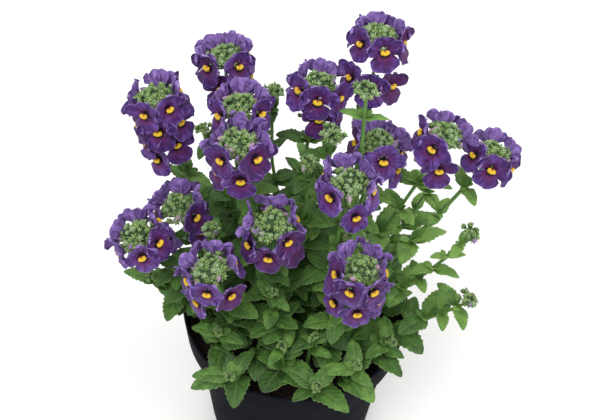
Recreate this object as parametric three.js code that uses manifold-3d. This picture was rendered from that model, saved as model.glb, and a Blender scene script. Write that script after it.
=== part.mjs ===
// Potted nemesia: a round nursery pot of compost, leafy stems that stand in it,
// and heads of two-lipped flowers round green bud clusters.
// Millimetres, +Z up, origin at the centre of the pot's underside.
// A bearing is in degrees about +Z: 0 towards the front (-Y), 90 towards the right (+X).
import * as THREE from "three";
import { mergeVertices } from "three/addons/utils/BufferGeometryUtils.js";
import Module from "manifold-3d";

// The pot: a 13 cm nursery pot with a deep collar
const POT_HEIGHT = 115;
const RIM_RADIUS = 65;
const COLLAR_HEIGHT = 20.5;
const COLLAR_FOOT_RADIUS = 64;
const BODY_RADIUS = 58.3;
const FOOT_RADIUS = 53;
const WALL = 1.6;
const EDGE_CHAMFER = 0.9;
const POT_FACETS = 30;
const DRAIN_HOLES = 6;
const DRAIN_RADIUS = 4;
const DRAIN_FACETS = 8;
const DRAIN_CIRCLE = 34;

// The compost fills the pot to a finger's width under the rim
const COMPOST_TOP = 102.5;
const SEAT_GAP = 0.3;
const ROOT_DEPTH = 18;

// Stems are square in section, as nemesia stems are, and thinner at the top.
// A stem leaves its straight foot upwards and enters its head along the head's axis, by these shares.
const STEM_SIDES = 4;
const STEM_FOOT_RADIUS = 1.7;
const STEM_TOP_RADIUS = 1.1;
const STEM_SPANS = 3;
const HOLE_RADIUS = 2.15;
const STRAIGHT_FOOT = 3;
const FOOT_PULL = 0.4;
const HEAD_PULL = 0.35;

// Joins and cuts leave slivers thinner than this, which are then smoothed away
const SLIVER = 0.1;

// A head: whorls of flowers round the stem, bud cluster on top
const WHORL_DEPTHS = [2, 12.5, 23, 32];
const WHORL_REACH = [12.3, 13, 13.5, 13.5];
const FLOWER_TILT = 25;
const SLEEVE_BORE = 1.8;
const SLEEVE_RADIUS = 4;
const SLEEVE_MARGIN = 1.3;
const STALK_ROOT = 2.2;
const STALK_DROP = 5.5;
const CLUSTER_RADIUS = 7.2;
const CLUSTER_FLATNESS = 0.8;
const CLUSTER_UNDERSIDE = 0.5;
const BUD_RELIEF = 0.16;

// A flower's outline in its own plane: across, up and forward of the throat, right half, top to bottom.
// The face rises from this edge to the palate, and the back falls from it to the tube.
const FLOWER_HALF_OUTLINE = [
  [2.7, 8.1, 0.2],
  [4.1, 4.9, 0.4],
  [6.9, 4, 0.9],
  [3.2, -0.4, 0.4],
  [7, -4.6, 0.4],
  [4.3, -8.7, 0],
];
const PALATE = [0, -1, 1.3];
const THROAT_RADIUS = 2;
const THROAT_DEPTH = 1.6;
const FLOWER_SPOTS = [
  [0, 0, 0], [6, 3, 1], [-6, 3, 1], [0, 7, 0], [6, -4.5, 0], [-6, -4.5, 0], [0, -7.5, 0],
];

// A leaf's outline: how far along the midrib, and half width as a share of the widest
const LEAF_EDGE = [
  [0.24, 0.96],
  [0.52, 0.92],
  [0.58, 0.68],
];
const RIB_TOP = 0.4;
const RIB_HALF_DEPTH = 0.55;
const LEAF_SLENDERNESS = [0.28, 0.2];
const LEAF_RISE = 34;
const LEAF_DROOP = 0.42;

// Leaf pairs stand from this height over the compost to these shares of the way up a shoot
const LOWEST_LEAF = 14;
const HIGHEST_FIRST_PAIR = 0.55;
const LAST_PAIR_UNDER_HEAD = 0.86;
const LAST_PAIR_UNDER_BUDS = 0.94;

// How far apart leaves, stems and flowers keep, and what a leaf tries when it is in the way
const STEM_REACH = 2.6;
const PETAL_REACH = 2.2;
const LEAF_REACH = 2.3;
const AIR = 1;
const RIM_CLEARANCE = 3;
const BEARING_TRIES = [0, 18, -18, 36, -36, 56, -56, 78, -78];
const RISE_TRIES = [0, 20, -16];
const SAMPLE_STATIONS = [0.13, 0.26, 0.4, 0.55, 0.7, 0.85, 1];
const SAMPLE_WIDTHS = [-0.8, 0, 0.8];
const ROOT_STATIONS = 2;
const TIP_TAPER = 0.3;
const STEM_SAMPLES = 32;
const HEAD_SAMPLES = [4, 12];

const COLOURS = {
  pot: "#232125",
  compost: "#1c120d",
  foliage: "#4d8034",
  petals: "#54358c",
};

// Each shoot that flowers: root on the compost, top of its head, which way it leans there,
// the bearings of its flowers whorl by whorl, and its leaves as [pairs, length at foot, at top, bearing].
const FLOWERING = {
  left_spire: {
    root: [-36, 10], tip: [-73, 22, 247], lean: [-0.2, 0],
    whorls: [[-100, -20, 45, 110, 175], [-60, 0, 58, 130, -135], [-55, 30], [-30]],
    leaves: [3, 26, 20, 20],
  },
  back_left: {
    root: [-20, 24], tip: [-43, 54, 248], lean: [-0.08, 0.12],
    whorls: [[-40, 45, 100, 155, -150, -95], [-5, 85]],
    leaves: [3, 28, 18, 70],
  },
  rear_left: {
    root: [-18, 12], tip: [-32, 20, 247], lean: [-0.05, 0],
    whorls: [[-55, 65, 125, 180, -120]],
    leaves: [2, 26, 20, 35],
  },
  upper_left: {
    root: [-20, -6], tip: [-30, -9, 250], lean: [-0.05, -0.08],
    whorls: [[-40, 50, 110, 170, -115], [-55, 5]],
    leaves: [3, 30, 20, 60],
  },
  mid_left: {
    root: [-32, -2], tip: [-62, -5, 198], lean: [-0.15, -0.1],
    whorls: [[-70, 60, 120, 180, -125], [-35, 55]],
    leaves: [2, 26, 20, 10],
  },
  far_left: {
    root: [-42, -14], tip: [-76, -34, 210], lean: [-0.3, -0.15],
    whorls: [[-55, 15, 70, 130, -170, -110]],
    leaves: [3, 27, 20, 50],
  },
  low_left: {
    root: [-30, -26], tip: [-41, -46, 203], lean: [-0.12, -0.25],
    whorls: [[-118, -62, -4, 114, 172], [-78, 45], [-50]],
    leaves: [2, 26, 18, 0],
  },
  centre: {
    root: [-8, -20], tip: [-13, -30, 220], lean: [0, -0.18],
    whorls: [[-95, 42, 110, 178], [-62, -5, 60]],
    leaves: [3, 28, 18, 30],
  },
  tall_back: {
    root: [18, 28], tip: [33, 49, 270], lean: [0.05, 0.08],
    whorls: [[-55, 10, 75, 132, -170, -112], [], [-66, -10, 46]],
    leaves: [3, 30, 20, 0],
  },
  back_middle: {
    root: [-2, 26], tip: [6, 32, 252], lean: [0.14, 0.04],
    whorls: [[-62, -5, 58, 170, -120], [8, 66]],
    leaves: [3, 28, 20, 90],
  },
  upper_right: {
    root: [20, 8], tip: [36, 14, 233], lean: [0.08, 0],
    whorls: [[-85, 10, 125, -160], [62]],
    leaves: [3, 30, 20, 50],
  },
  right: {
    root: [32, 14], tip: [67, 15, 239], lean: [0.2, 0],
    whorls: [[-92, -35, 120, -178], [2]],
    leaves: [3, 30, 22, 75],
  },
  far_right: {
    root: [40, 4], tip: [94, 20, 224], lean: [0.3, 0.04],
    whorls: [[-70, -10, 55, 115, 180]],
    leaves: [3, 30, 18, 15],
  },
  centre_right: {
    root: [12, -8], tip: [21, -16, 236], lean: [0, -0.1],
    whorls: [[-45, 75, 130, -170, -110], [22]],
    leaves: [3, 30, 20, 45],
  },
  low_right: {
    root: [18, -28], tip: [29, -46, 209], lean: [0.05, -0.22],
    whorls: [[-78, -22, 34, 92, 150, -142], [-88], [-50, 8, 66]],
    leaves: [3, 28, 18, 20],
  },
  behind_left: {
    root: [-22, 38], tip: [-38, 62, 178], lean: [-0.1, 0.25],
    whorls: [[180, 120, -120, 60, -60]],
    leaves: [2, 28, 20, 30],
  },
  behind_right: {
    root: [26, 40], tip: [45, 61, 186], lean: [0.12, 0.25],
    whorls: [[175, 115, -125, 55, -65]],
    leaves: [2, 28, 20, 60],
  },
};

// Shoots with a green bud cluster or a leafy tip and no open flower; cluster is its radius
const BUDDING = {
  thin_bud: {
    root: [29, -1], tip: [26, 6, 272], lean: [-0.02, 0.12],
    cluster: 5.6, leaves: [3, 24, 14, 80],
  },
  middle_bud: {
    root: [6, 8], tip: [13, 10, 239], lean: [0.05, 0],
    cluster: 6, leaves: [4, 30, 18, 15],
  },
  low_bud: {
    root: [-4, 2], tip: [3, -2, 232], lean: [0, 0],
    cluster: 4.4, leaves: [4, 30, 16, 60],
  },
  hidden_bud: {
    root: [25, -15], tip: [28, -15, 194], lean: [0.1, 0],
    cluster: 5, leaves: [3, 26, 18, 0],
  },
  right_bud: {
    root: [44, -8], tip: [87, -5, 190], lean: [0.25, 0],
    cluster: 4.8, leaves: [4, 24, 15, 60],
  },
  low_right_bud: {
    root: [46, -18], tip: [91, -20, 153], lean: [0.35, 0],
    cluster: 5, leaves: [3, 30, 20, 40],
  },
  side_left_bud: {
    root: [-35, -14], tip: [-43, -21, 202], lean: [-0.05, -0.05],
    cluster: 4.4, leaves: [2, 24, 16, 90],
  },
  rear_left_bud: {
    root: [-30, 22], tip: [-50, 16, 233], lean: [-0.15, 0],
    cluster: 3.6, leaves: [2, 24, 16, 60],
  },
  rear_bud: {
    root: [-8, 32], tip: [-17, 34, 243], lean: [0.1, 0],
    cluster: 4.8, leaves: [3, 24, 16, 0],
  },
  front_tip_a: {
    root: [-8, -36], tip: [-12, -37, 175], lean: [0, -0.1],
    cluster: 2.6, leaves: [3, 26, 15, 45],
  },
  front_tip_b: {
    root: [-20, -38], tip: [-17, -36, 143], lean: [0, -0.1],
    cluster: 2.6, leaves: [2, 26, 16, 0],
  },
  front_tip_c: {
    root: [-4, -46], tip: [-6, -47, 140], lean: [0, -0.1],
    cluster: 2.6, leaves: [2, 24, 15, 60],
  },
  front_tip_d: {
    root: [8, -40], tip: [10, -42, 142], lean: [0.05, -0.1],
    cluster: 2.6, leaves: [2, 28, 17, 20],
  },
  front_tip_e: {
    root: [-38, -34], tip: [-40, -40, 140], lean: [-0.1, -0.1],
    cluster: 2.6, leaves: [2, 26, 18, 30],
  },
  front_tip_f: {
    root: [-26, -44], tip: [-32, -61, 131], lean: [-0.1, -0.25],
    cluster: 2.8, leaves: [2, 28, 22, 55],
  },
  front_tip_g: {
    root: [38, -32], tip: [52, -36, 133], lean: [0.2, -0.1],
    cluster: 3, leaves: [2, 28, 20, 60],
  },
  front_tip_h: {
    root: [10, -52], tip: [13, -64, 130], lean: [0, -0.25],
    cluster: 2.8, leaves: [2, 30, 22, 50],
  },
  front_tip_i: {
    root: [27, -46], tip: [34, -54, 136], lean: [0.1, -0.15],
    cluster: 2.8, leaves: [2, 28, 20, 20],
  },
  left_tip: {
    root: [-50, -6], tip: [-76, -22, 160], lean: [-0.3, -0.1],
    cluster: 2.6, leaves: [3, 30, 22, 80],
  },
  back_tip_a: {
    root: [2, 44], tip: [4, 66, 168], lean: [0, 0.25],
    cluster: 3, leaves: [3, 32, 20, 30],
  },
  back_tip_b: {
    root: [-40, 30], tip: [-66, 46, 168], lean: [-0.2, 0.15],
    cluster: 3, leaves: [3, 32, 20, 60],
  },
  back_tip_c: {
    root: [44, 26], tip: [72, 44, 172], lean: [0.2, 0.15],
    cluster: 3, leaves: [3, 32, 20, 20],
  },
};

const wasm = await Module();
wasm.setup();

const UP = new THREE.Vector3(0, 0, 1);
const radians = THREE.MathUtils.degToRad;

function vector(x, y, z) {
  return new THREE.Vector3(x, y, z);
}

// a + b * s
function along(a, b, s) {
  return a.clone().addScaledVector(b, s);
}

// A closed three.js geometry as a solid that can be joined and cut.
function solidOf(geometry) {
  const bare = geometry.clone();
  bare.deleteAttribute("normal");
  bare.deleteAttribute("uv");
  const merged = mergeVertices(bare, 1e-4);
  const mesh = new wasm.Mesh({
    numProp: 3,
    vertProperties: merged.attributes.position.array,
    triVerts: new Uint32Array(merged.index.array),
  });
  return new wasm.Manifold(mesh);
}

// The solid back as a three.js geometry, without the slivers that joins and cuts leave.
function geometryOf(solid) {
  const mesh = solid.asOriginal().simplify(SLIVER).getMesh();
  const geometry = new THREE.BufferGeometry();
  geometry.setAttribute("position", new THREE.BufferAttribute(mesh.vertProperties, 3));
  geometry.setIndex(new THREE.BufferAttribute(mesh.triVerts, 1));
  geometry.computeVertexNormals();
  return geometry;
}

// A closed mesh from corner vectors and faces of corner numbers.
function geometryFrom(corners, faces) {
  const geometry = new THREE.BufferGeometry();
  const flat = corners.flatMap((corner) => corner.toArray());
  geometry.setAttribute("position", new THREE.Float32BufferAttribute(flat, 3));
  geometry.setIndex(faces.flat());
  return geometry;
}

// Closed geometries joined in one.
function join(geometries) {
  return geometryOf(wasm.Manifold.union(geometries.map(solidOf)));
}

// One closed geometry less all the others.
function cut(geometry, holes) {
  return geometryOf(solidOf(geometry).subtract(wasm.Manifold.union(holes.map(solidOf))));
}

// The direction of a bearing, made square to an axis.
function outward(bearing, axis) {
  const flat = vector(Math.sin(radians(bearing)), -Math.cos(radians(bearing)), 0);
  return flat.addScaledVector(axis, -flat.dot(axis)).normalize();
}

// A shoot's line: a straight foot in the compost, a curve, and a straight top inside its head.
class StemLine {
  constructor(shoot, headLength) {
    this.axis = vector(shoot.lean[0], shoot.lean[1], 1).normalize();
    this.tip = vector(...shoot.tip);
    this.foot = vector(...shoot.root, COMPOST_TOP - ROOT_DEPTH + SEAT_GAP);
    const start = vector(...shoot.root, COMPOST_TOP + STRAIGHT_FOOT);
    const end = along(this.tip, this.axis, -headLength);
    const rise = start.distanceTo(end);
    this.curve = new THREE.CubicBezierCurve3(
      start,
      along(start, UP, rise * FOOT_PULL),
      along(end, this.axis, -rise * HEAD_PULL),
      end,
    );
    this.bends = this.curve.getPoints(STEM_SPANS);
    this.turn = shoot.leaves[3] + 180 / STEM_SIDES;
  }

  // The point at a share of the way up the curve, on the chord between two bends.
  at(share) {
    const place = share * STEM_SPANS;
    const span = Math.min(Math.floor(place), STEM_SPANS - 1);
    return this.bends[span].clone().lerp(this.bends[span + 1], place - span);
  }

  // Points a few millimetres apart, for keeping leaves clear.
  samples() {
    const curve = Array.from({ length: STEM_SAMPLES + 1 }, (_, i) => this.at(i / STEM_SAMPLES));
    return [...curve, ...HEAD_SAMPLES.map((depth) => along(this.tip, this.axis, -depth))];
  }
}

// A stem of square section, whose flat sides face the way its leaves grow.
function stemGeometry(stem) {
  const points = [stem.foot, ...stem.bends, stem.tip];
  const last = points.length - 1;
  const corners = [];
  points.forEach((point, i) => {
    const before = points[Math.max(i - 1, 0)];
    const after = points[Math.min(i + 1, last)];
    const axis = after.clone().sub(before).normalize();
    const radius = THREE.MathUtils.lerp(STEM_FOOT_RADIUS, STEM_TOP_RADIUS, i / last);
    for (let k = 0; k < STEM_SIDES; k += 1) {
      corners.push(along(point, outward(stem.turn + (360 * k) / STEM_SIDES, axis), radius));
    }
  });
  const faces = [];
  for (let i = 0; i < last; i += 1) {
    for (let k = 0; k < STEM_SIDES; k += 1) {
      const a = i * STEM_SIDES + k;
      const b = i * STEM_SIDES + ((k + 1) % STEM_SIDES);
      faces.push([a, b, b + STEM_SIDES], [a, b + STEM_SIDES, a + STEM_SIDES]);
    }
  }
  const top = last * STEM_SIDES;
  faces.push([0, 2, 1], [0, 3, 2], [top, top + 1, top + 2], [top, top + 2, top + 3]);
  return geometryFrom(corners, faces);
}

// A leaf's shape in space: root, direction of its start, level side direction and size.
class Leaf {
  constructor(stem, station, bearing, rise, length) {
    this.root = stem.at(station);
    const out = outward(bearing, UP);
    this.start = along(out.multiplyScalar(Math.cos(radians(rise))), UP, Math.sin(radians(rise)));
    this.side = vector(0, 0, 0).crossVectors(out, UP).normalize();
    this.length = length;
    this.halfWidth = length * THREE.MathUtils.lerp(...LEAF_SLENDERNESS, station);
  }

  // The midrib: straight on, and pulled down by the square of the way along it.
  midrib(share) {
    const straight = along(this.root, this.start, this.length * share);
    return along(straight, UP, -LEAF_DROOP * this.length * share * share);
  }

  // The point a share along the midrib and a share of the half width across.
  at(share, across) {
    return along(this.midrib(share), this.side, this.halfWidth * across);
  }

  // Rows of three points across the blade, root to tip.
  samples() {
    return SAMPLE_STATIONS.flatMap((share) => {
      const width = Math.min(share / LEAF_EDGE[0][0], 1, (1 - share) / TIP_TAPER);
      return SAMPLE_WIDTHS.map((across) => this.at(share, across * width));
    });
  }

  // A blade with a toothed edge, thickest along its midrib, whose two faces are split alike.
  geometry() {
    const edge = LEAF_EDGE.map(([share, width]) => this.at(share, width));
    edge.push(this.midrib(1));
    edge.push(...LEAF_EDGE.map(([share, width]) => this.at(share, -width)).reverse());
    const count = edge.length;
    const thick = (share, sign) => {
      const ahead = this.midrib(share + 0.1).sub(this.midrib(share)).normalize();
      const normal = vector(0, 0, 0).crossVectors(this.side, ahead).normalize();
      return along(this.midrib(share), normal, sign * RIB_HALF_DEPTH);
    };
    const corners = [...edge, thick(0, 1), thick(0, -1), thick(RIB_TOP, 1), thick(RIB_TOP, -1)];
    const [rootUpper, rootLower, upper, lower] = [count, count + 1, count + 2, count + 3];
    const faces = [
      [rootUpper, 0, upper], [0, rootLower, lower], [rootLower, 0, rootUpper],
      [count - 1, rootUpper, upper], [rootLower, count - 1, lower], [count - 1, rootLower, rootUpper],
    ];
    for (let i = 0; i + 1 < count; i += 1) faces.push([i, i + 1, upper], [i + 1, i, lower]);
    return geometryFrom(corners, faces);
  }
}

// One flower's place and directions: middle of its throat, right, up and forward.
class FlowerPlace {
  constructor(stem, whorl, bearing) {
    const out = outward(bearing, stem.axis);
    const tilt = radians(FLOWER_TILT);
    this.root = along(stem.tip, stem.axis, -WHORL_DEPTHS[whorl]);
    this.out = out;
    this.axis = stem.axis;
    this.throat = along(this.root, out, WHORL_REACH[whorl]);
    this.forward = out.clone().multiplyScalar(Math.cos(tilt)).addScaledVector(stem.axis, Math.sin(tilt));
    this.up = stem.axis.clone().multiplyScalar(Math.cos(tilt)).addScaledVector(out, -Math.sin(tilt));
    this.right = vector(0, 0, 0).crossVectors(this.up, this.forward);
  }

  at([x, y, z]) {
    const point = along(this.throat, this.right, x);
    return point.addScaledVector(this.up, y).addScaledVector(this.forward, z);
  }

  samples() {
    return FLOWER_SPOTS.map((spot) => this.at(spot));
  }
}

// A flower: a lobed face that rises to its palate, and a back that narrows to a three-sided stalk.
function flowerGeometry(place) {
  const mirrored = FLOWER_HALF_OUTLINE.map(([x, y, z]) => [-x, y, z]).reverse();
  const outline = [...mirrored, ...FLOWER_HALF_OUTLINE];
  const count = outline.length;
  const corners = [...outline, PALATE].map((p) => place.at(p));
  const palate = count;
  const ring = count + 1;
  const angles = [150, 30, -90].map(radians);
  for (const a of angles) {
    corners.push(place.at([THROAT_RADIUS * Math.cos(a), THROAT_RADIUS * Math.sin(a), -THROAT_DEPTH]));
  }
  corners.push(along(place.root, place.out, STALK_ROOT).addScaledVector(place.axis, -STALK_DROP));
  const faces = [];
  // which corner of the throat ring stands behind each outline point
  const behind = outline.map(([x, y]) => (y < -2 ? 2 : x < 0 ? 0 : 1));
  for (let i = 0; i < count; i += 1) {
    const j = (i + 1) % count;
    faces.push([palate, j, i], [i, j, ring + behind[i]]);
    if (behind[i] !== behind[j]) faces.push([j, ring + behind[j], ring + behind[i]]);
  }
  for (let k = 0; k < 3; k += 1) faces.push([ring + k, ring + ((k + 1) % 3), ring + 3]);
  return geometryFrom(corners, faces);
}

// A bud cluster: a flattened ball whose surface is raised into buds, every other corner of its grid.
function clusterGeometry(stem, radius) {
  const around = radius > 4 ? 8 : 6;
  const down = radius > 4 ? 4 : 3;
  const ball = new THREE.SphereGeometry(radius, around, down);
  ball.deleteAttribute("normal");
  ball.deleteAttribute("uv");
  const merged = mergeVertices(ball, 1e-3);
  const position = merged.attributes.position;
  const turn = new THREE.Quaternion().setFromUnitVectors(vector(0, 1, 0), stem.axis);
  for (let i = 0; i < position.count; i += 1) {
    const p = vector(0, 0, 0).fromBufferAttribute(position, i);
    const column = Math.round((Math.atan2(p.z, p.x) / (2 * Math.PI)) * around);
    const row = Math.round((Math.acos(p.y / radius) / Math.PI) * down);
    const raised = (column + row) % 2 === 0 ? 1 + BUD_RELIEF : 1 - BUD_RELIEF;
    p.multiplyScalar(row === 0 || row === down ? 1 : raised);
    p.y *= p.y > 0 ? CLUSTER_FLATNESS : CLUSTER_UNDERSIDE;
    p.applyQuaternion(turn).add(stem.tip);
    position.setXYZ(i, p.x, p.y, p.z);
  }
  return merged;
}

// A short tube round the stem inside the head, which the flowers grow out of.
function sleeveGeometry(stem, whorls) {
  const top = -WHORL_DEPTHS[0] - STALK_DROP + SLEEVE_MARGIN;
  const foot = -WHORL_DEPTHS[whorls.length - 1] - STALK_DROP - SLEEVE_MARGIN;
  const profile = [
    [SLEEVE_BORE, foot],
    [SLEEVE_RADIUS, foot],
    [SLEEVE_RADIUS, top],
    [SLEEVE_BORE, top],
    [SLEEVE_BORE, foot],
  ].map(([r, y]) => new THREE.Vector2(r, y));
  const tube = new THREE.LatheGeometry(profile, 6);
  const turn = new THREE.Quaternion().setFromUnitVectors(vector(0, 1, 0), stem.axis);
  tube.applyQuaternion(turn);
  tube.translate(stem.tip.x, stem.tip.y, stem.tip.z);
  return tube;
}

// The places already taken, so that each leaf can be bent clear of them.
class Space {
  constructor() {
    this.taken = [];
  }

  take(points, reach, owner) {
    points.forEach((point) => this.taken.push({ point, reach, owner }));
  }

  // True where a leaf's rows of points are clear of everything taken, of the rim and of the compost.
  // Its own stem is only kept clear of the rows past its root.
  free(points, stem) {
    return points.every((p, i) => {
      const radius = Math.hypot(p.x, p.y);
      const inPot = radius < RIM_RADIUS + RIM_CLEARANCE;
      const floor = radius > BODY_RADIUS ? POT_HEIGHT + RIM_CLEARANCE : COMPOST_TOP + RIM_CLEARANCE;
      if (inPot && p.z < floor) return false;
      const atRoot = i < ROOT_STATIONS * SAMPLE_WIDTHS.length;
      return this.taken.every(({ point, reach, owner }) => {
        if (atRoot && owner === stem) return true;
        return p.distanceTo(point) > reach + AIR;
      });
    });
  }
}

// A leaf at its station, turned or raised by the first try that is clear, or none.
function settleLeaf(space, stem, station, bearing, length) {
  for (const extraRise of RISE_TRIES) {
    for (const turn of BEARING_TRIES) {
      const leaf = new Leaf(stem, station, bearing + turn, LEAF_RISE + extraRise, length);
      const points = leaf.samples();
      if (space.free(points, stem)) {
        space.take(points, LEAF_REACH, stem);
        return leaf;
      }
    }
  }
  return null;
}

// Opposite pairs of leaves up a stem, each pair square to the one below.
function settleLeaves(space, stem, [pairs, footLength, topLength, bearing], last) {
  const leaves = [];
  const first = Math.min(LOWEST_LEAF / (stem.tip.z - COMPOST_TOP), HIGHEST_FIRST_PAIR);
  for (let i = 0; i < pairs; i += 1) {
    const share = pairs > 1 ? i / (pairs - 1) : 1;
    const station = THREE.MathUtils.lerp(first, last, share);
    const length = THREE.MathUtils.lerp(footLength, topLength, share);
    for (const half of [0, 180]) {
      const leaf = settleLeaf(space, stem, station, bearing + 90 * i + half, length);
      if (leaf) leaves.push(leaf);
    }
  }
  return leaves;
}

function material(colour, roughness) {
  return new THREE.MeshStandardMaterial({ color: colour, roughness, metalness: 0 });
}

function piece(name, geometry, finish) {
  const mesh = new THREE.Mesh(geometry, finish);
  mesh.name = name;
  return mesh;
}

function lathe(profile) {
  const points = profile.map(([r, z]) => new THREE.Vector2(r, z));
  const turned = new THREE.LatheGeometry(points, POT_FACETS);
  return turned.rotateX(Math.PI / 2);
}

// The pot: foot, tapered wall, step, collar and rim, with drain holes through its floor.
function potGeometry() {
  const step = POT_HEIGHT - COLLAR_HEIGHT;
  const shell = lathe([
    [0, 0],
    [FOOT_RADIUS - EDGE_CHAMFER, 0],
    [FOOT_RADIUS, EDGE_CHAMFER],
    [BODY_RADIUS, step],
    [COLLAR_FOOT_RADIUS, step],
    [RIM_RADIUS, POT_HEIGHT - EDGE_CHAMFER / 2],
    [RIM_RADIUS - EDGE_CHAMFER / 2, POT_HEIGHT],
    [RIM_RADIUS - WALL, POT_HEIGHT],
    [COLLAR_FOOT_RADIUS - WALL, step + WALL],
    [BODY_RADIUS - WALL, step + WALL],
    [FOOT_RADIUS - WALL, WALL],
    [0, WALL],
  ]);
  const drains = [];
  for (let i = 0; i < DRAIN_HOLES; i += 1) {
    const drain = new THREE.CylinderGeometry(DRAIN_RADIUS, DRAIN_RADIUS, 4 * WALL, DRAIN_FACETS);
    drain.rotateX(Math.PI / 2);
    const place = outward((360 * (i + 0.5)) / DRAIN_HOLES, UP).multiplyScalar(DRAIN_CIRCLE);
    drain.translate(place.x, place.y, 0);
    drains.push(drain);
  }
  return cut(shell, drains);
}

// The compost: the inside of the pot less a seat gap, with a plain hole for each stem.
function compostGeometry(stems) {
  const step = POT_HEIGHT - COLLAR_HEIGHT;
  const inset = WALL + SEAT_GAP;
  const fill = lathe([
    [0, inset],
    [FOOT_RADIUS - inset, inset],
    [BODY_RADIUS - inset, step + WALL + SEAT_GAP],
    [COLLAR_FOOT_RADIUS - inset, step + WALL + SEAT_GAP],
    [COLLAR_FOOT_RADIUS - inset, COMPOST_TOP],
    [0, COMPOST_TOP],
  ]);
  const holes = stems.map((stem) => {
    const hole = new THREE.CylinderGeometry(HOLE_RADIUS, HOLE_RADIUS, 2 * ROOT_DEPTH, STEM_SIDES);
    hole.rotateX(Math.PI / 2);
    hole.rotateZ(radians(stem.turn));
    hole.translate(stem.foot.x, stem.foot.y, COMPOST_TOP);
    return hole;
  });
  return cut(fill, holes);
}

// How far down its stem a head's flowers reach.
function headLength(whorls) {
  return WHORL_DEPTHS[whorls.length - 1] + STALK_DROP + 2 * SLEEVE_MARGIN;
}

function build() {
  const group = new THREE.Group();
  const foliage = material(COLOURS.foliage, 0.7);
  const petals = material(COLOURS.petals, 0.75);
  const space = new Space();
  const flowering = Object.entries(FLOWERING).map(([name, shoot]) => {
    const stem = new StemLine(shoot, headLength(shoot.whorls));
    const places = shoot.whorls.flatMap((bearings, w) => bearings.map((b) => new FlowerPlace(stem, w, b)));
    return { name, shoot, stem, places, cluster: CLUSTER_RADIUS };
  });
  const budding = Object.entries(BUDDING).map(([name, shoot]) => {
    const stem = new StemLine(shoot, shoot.cluster);
    return { name, shoot, stem, places: [], cluster: shoot.cluster };
  });
  const shoots = [...flowering, ...budding];
  for (const { stem, places, cluster } of shoots) {
    space.take(stem.samples(), STEM_REACH, stem);
    space.take([stem.tip], cluster);
    places.forEach((place) => space.take(place.samples(), PETAL_REACH));
  }
  group.add(piece("pot", potGeometry(), material(COLOURS.pot, 0.4)));
  group.add(piece("compost", compostGeometry(shoots.map(({ stem }) => stem)), material(COLOURS.compost, 1)));
  for (const { name, shoot, stem, places, cluster } of shoots) {
    const last = places.length > 0 ? LAST_PAIR_UNDER_HEAD : LAST_PAIR_UNDER_BUDS;
    const leaves = settleLeaves(space, stem, shoot.leaves, last);
    const parts = [
      stemGeometry(stem),
      clusterGeometry(stem, cluster),
      ...leaves.map((leaf) => leaf.geometry()),
    ];
    group.add(piece(`${name}_shoot`, join(parts), foliage));
    if (places.length > 0) {
      const sleeve = sleeveGeometry(stem, shoot.whorls);
      const flowers = join([sleeve, ...places.map(flowerGeometry)]);
      group.add(piece(`${name}_flowers`, flowers, petals));
    }
  }
  return group;
}

export default build();
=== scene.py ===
"""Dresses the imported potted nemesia: pot, compost, leafy stems, bud clusters and two-lipped flowers.

Shapes are worked out in millimetres in the frame of the CAD part, and put into meshes in metres.
A bearing is in degrees about +Z: 0 towards the front (-Y), 90 towards the right (+X).
"""
import logging
import math
from dataclasses import dataclass, field
from enum import IntEnum
from functools import partial
from typing import Any, Callable, Sequence

import bpy
import numpy as np
from mathutils import Matrix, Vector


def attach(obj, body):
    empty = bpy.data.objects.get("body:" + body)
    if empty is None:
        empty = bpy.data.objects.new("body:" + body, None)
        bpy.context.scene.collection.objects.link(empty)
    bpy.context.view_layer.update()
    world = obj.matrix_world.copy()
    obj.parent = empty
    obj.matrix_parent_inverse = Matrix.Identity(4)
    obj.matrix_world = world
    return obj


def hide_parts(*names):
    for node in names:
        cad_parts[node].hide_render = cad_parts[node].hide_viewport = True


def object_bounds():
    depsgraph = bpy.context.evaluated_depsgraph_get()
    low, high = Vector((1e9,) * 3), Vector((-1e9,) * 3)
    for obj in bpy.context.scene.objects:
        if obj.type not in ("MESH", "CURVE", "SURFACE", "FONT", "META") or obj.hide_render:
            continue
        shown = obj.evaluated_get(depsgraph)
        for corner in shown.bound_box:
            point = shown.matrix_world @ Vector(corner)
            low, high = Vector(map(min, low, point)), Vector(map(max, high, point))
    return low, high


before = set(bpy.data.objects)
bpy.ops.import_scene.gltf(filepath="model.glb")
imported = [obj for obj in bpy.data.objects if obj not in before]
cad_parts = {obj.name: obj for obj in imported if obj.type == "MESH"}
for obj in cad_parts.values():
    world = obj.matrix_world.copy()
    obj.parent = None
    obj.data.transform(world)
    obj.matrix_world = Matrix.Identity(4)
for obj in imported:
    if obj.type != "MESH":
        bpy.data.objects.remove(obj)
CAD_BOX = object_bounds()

Array = np.ndarray
Random = np.random.Generator
Socket = bpy.types.NodeSocket
Adder = Callable[..., Socket]
LOG = logging.getLogger("nemesia")
BODY = "root"
METRES = 0.001
UP = np.array([0.0, 0.0, 1.0])
SEED = 4127
TURN = 2 * math.pi
GOLDEN_TURN = math.pi * (3 - math.sqrt(5))
# The radius at which a turned surface is closed
POLE_RADIUS = 0.05
HAIR_RADIUS = 0.05

# The pot: a 13 cm nursery pot with a deep collar
POT_HEIGHT = 115.0
RIM_RADIUS = 65.0
COLLAR_HEIGHT = 20.5
COLLAR_FOOT_RADIUS = 64.0
BODY_RADIUS = 58.3
FOOT_RADIUS = 53.0
WALL = 1.6
DRAIN_HOLES = 6
DRAIN_RADIUS = 4.0
DRAIN_CIRCLE = 34.0
COMPOST_TOP = 102.5
SEAT_GAP = 0.3
ROOT_DEPTH = 18.0

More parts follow.
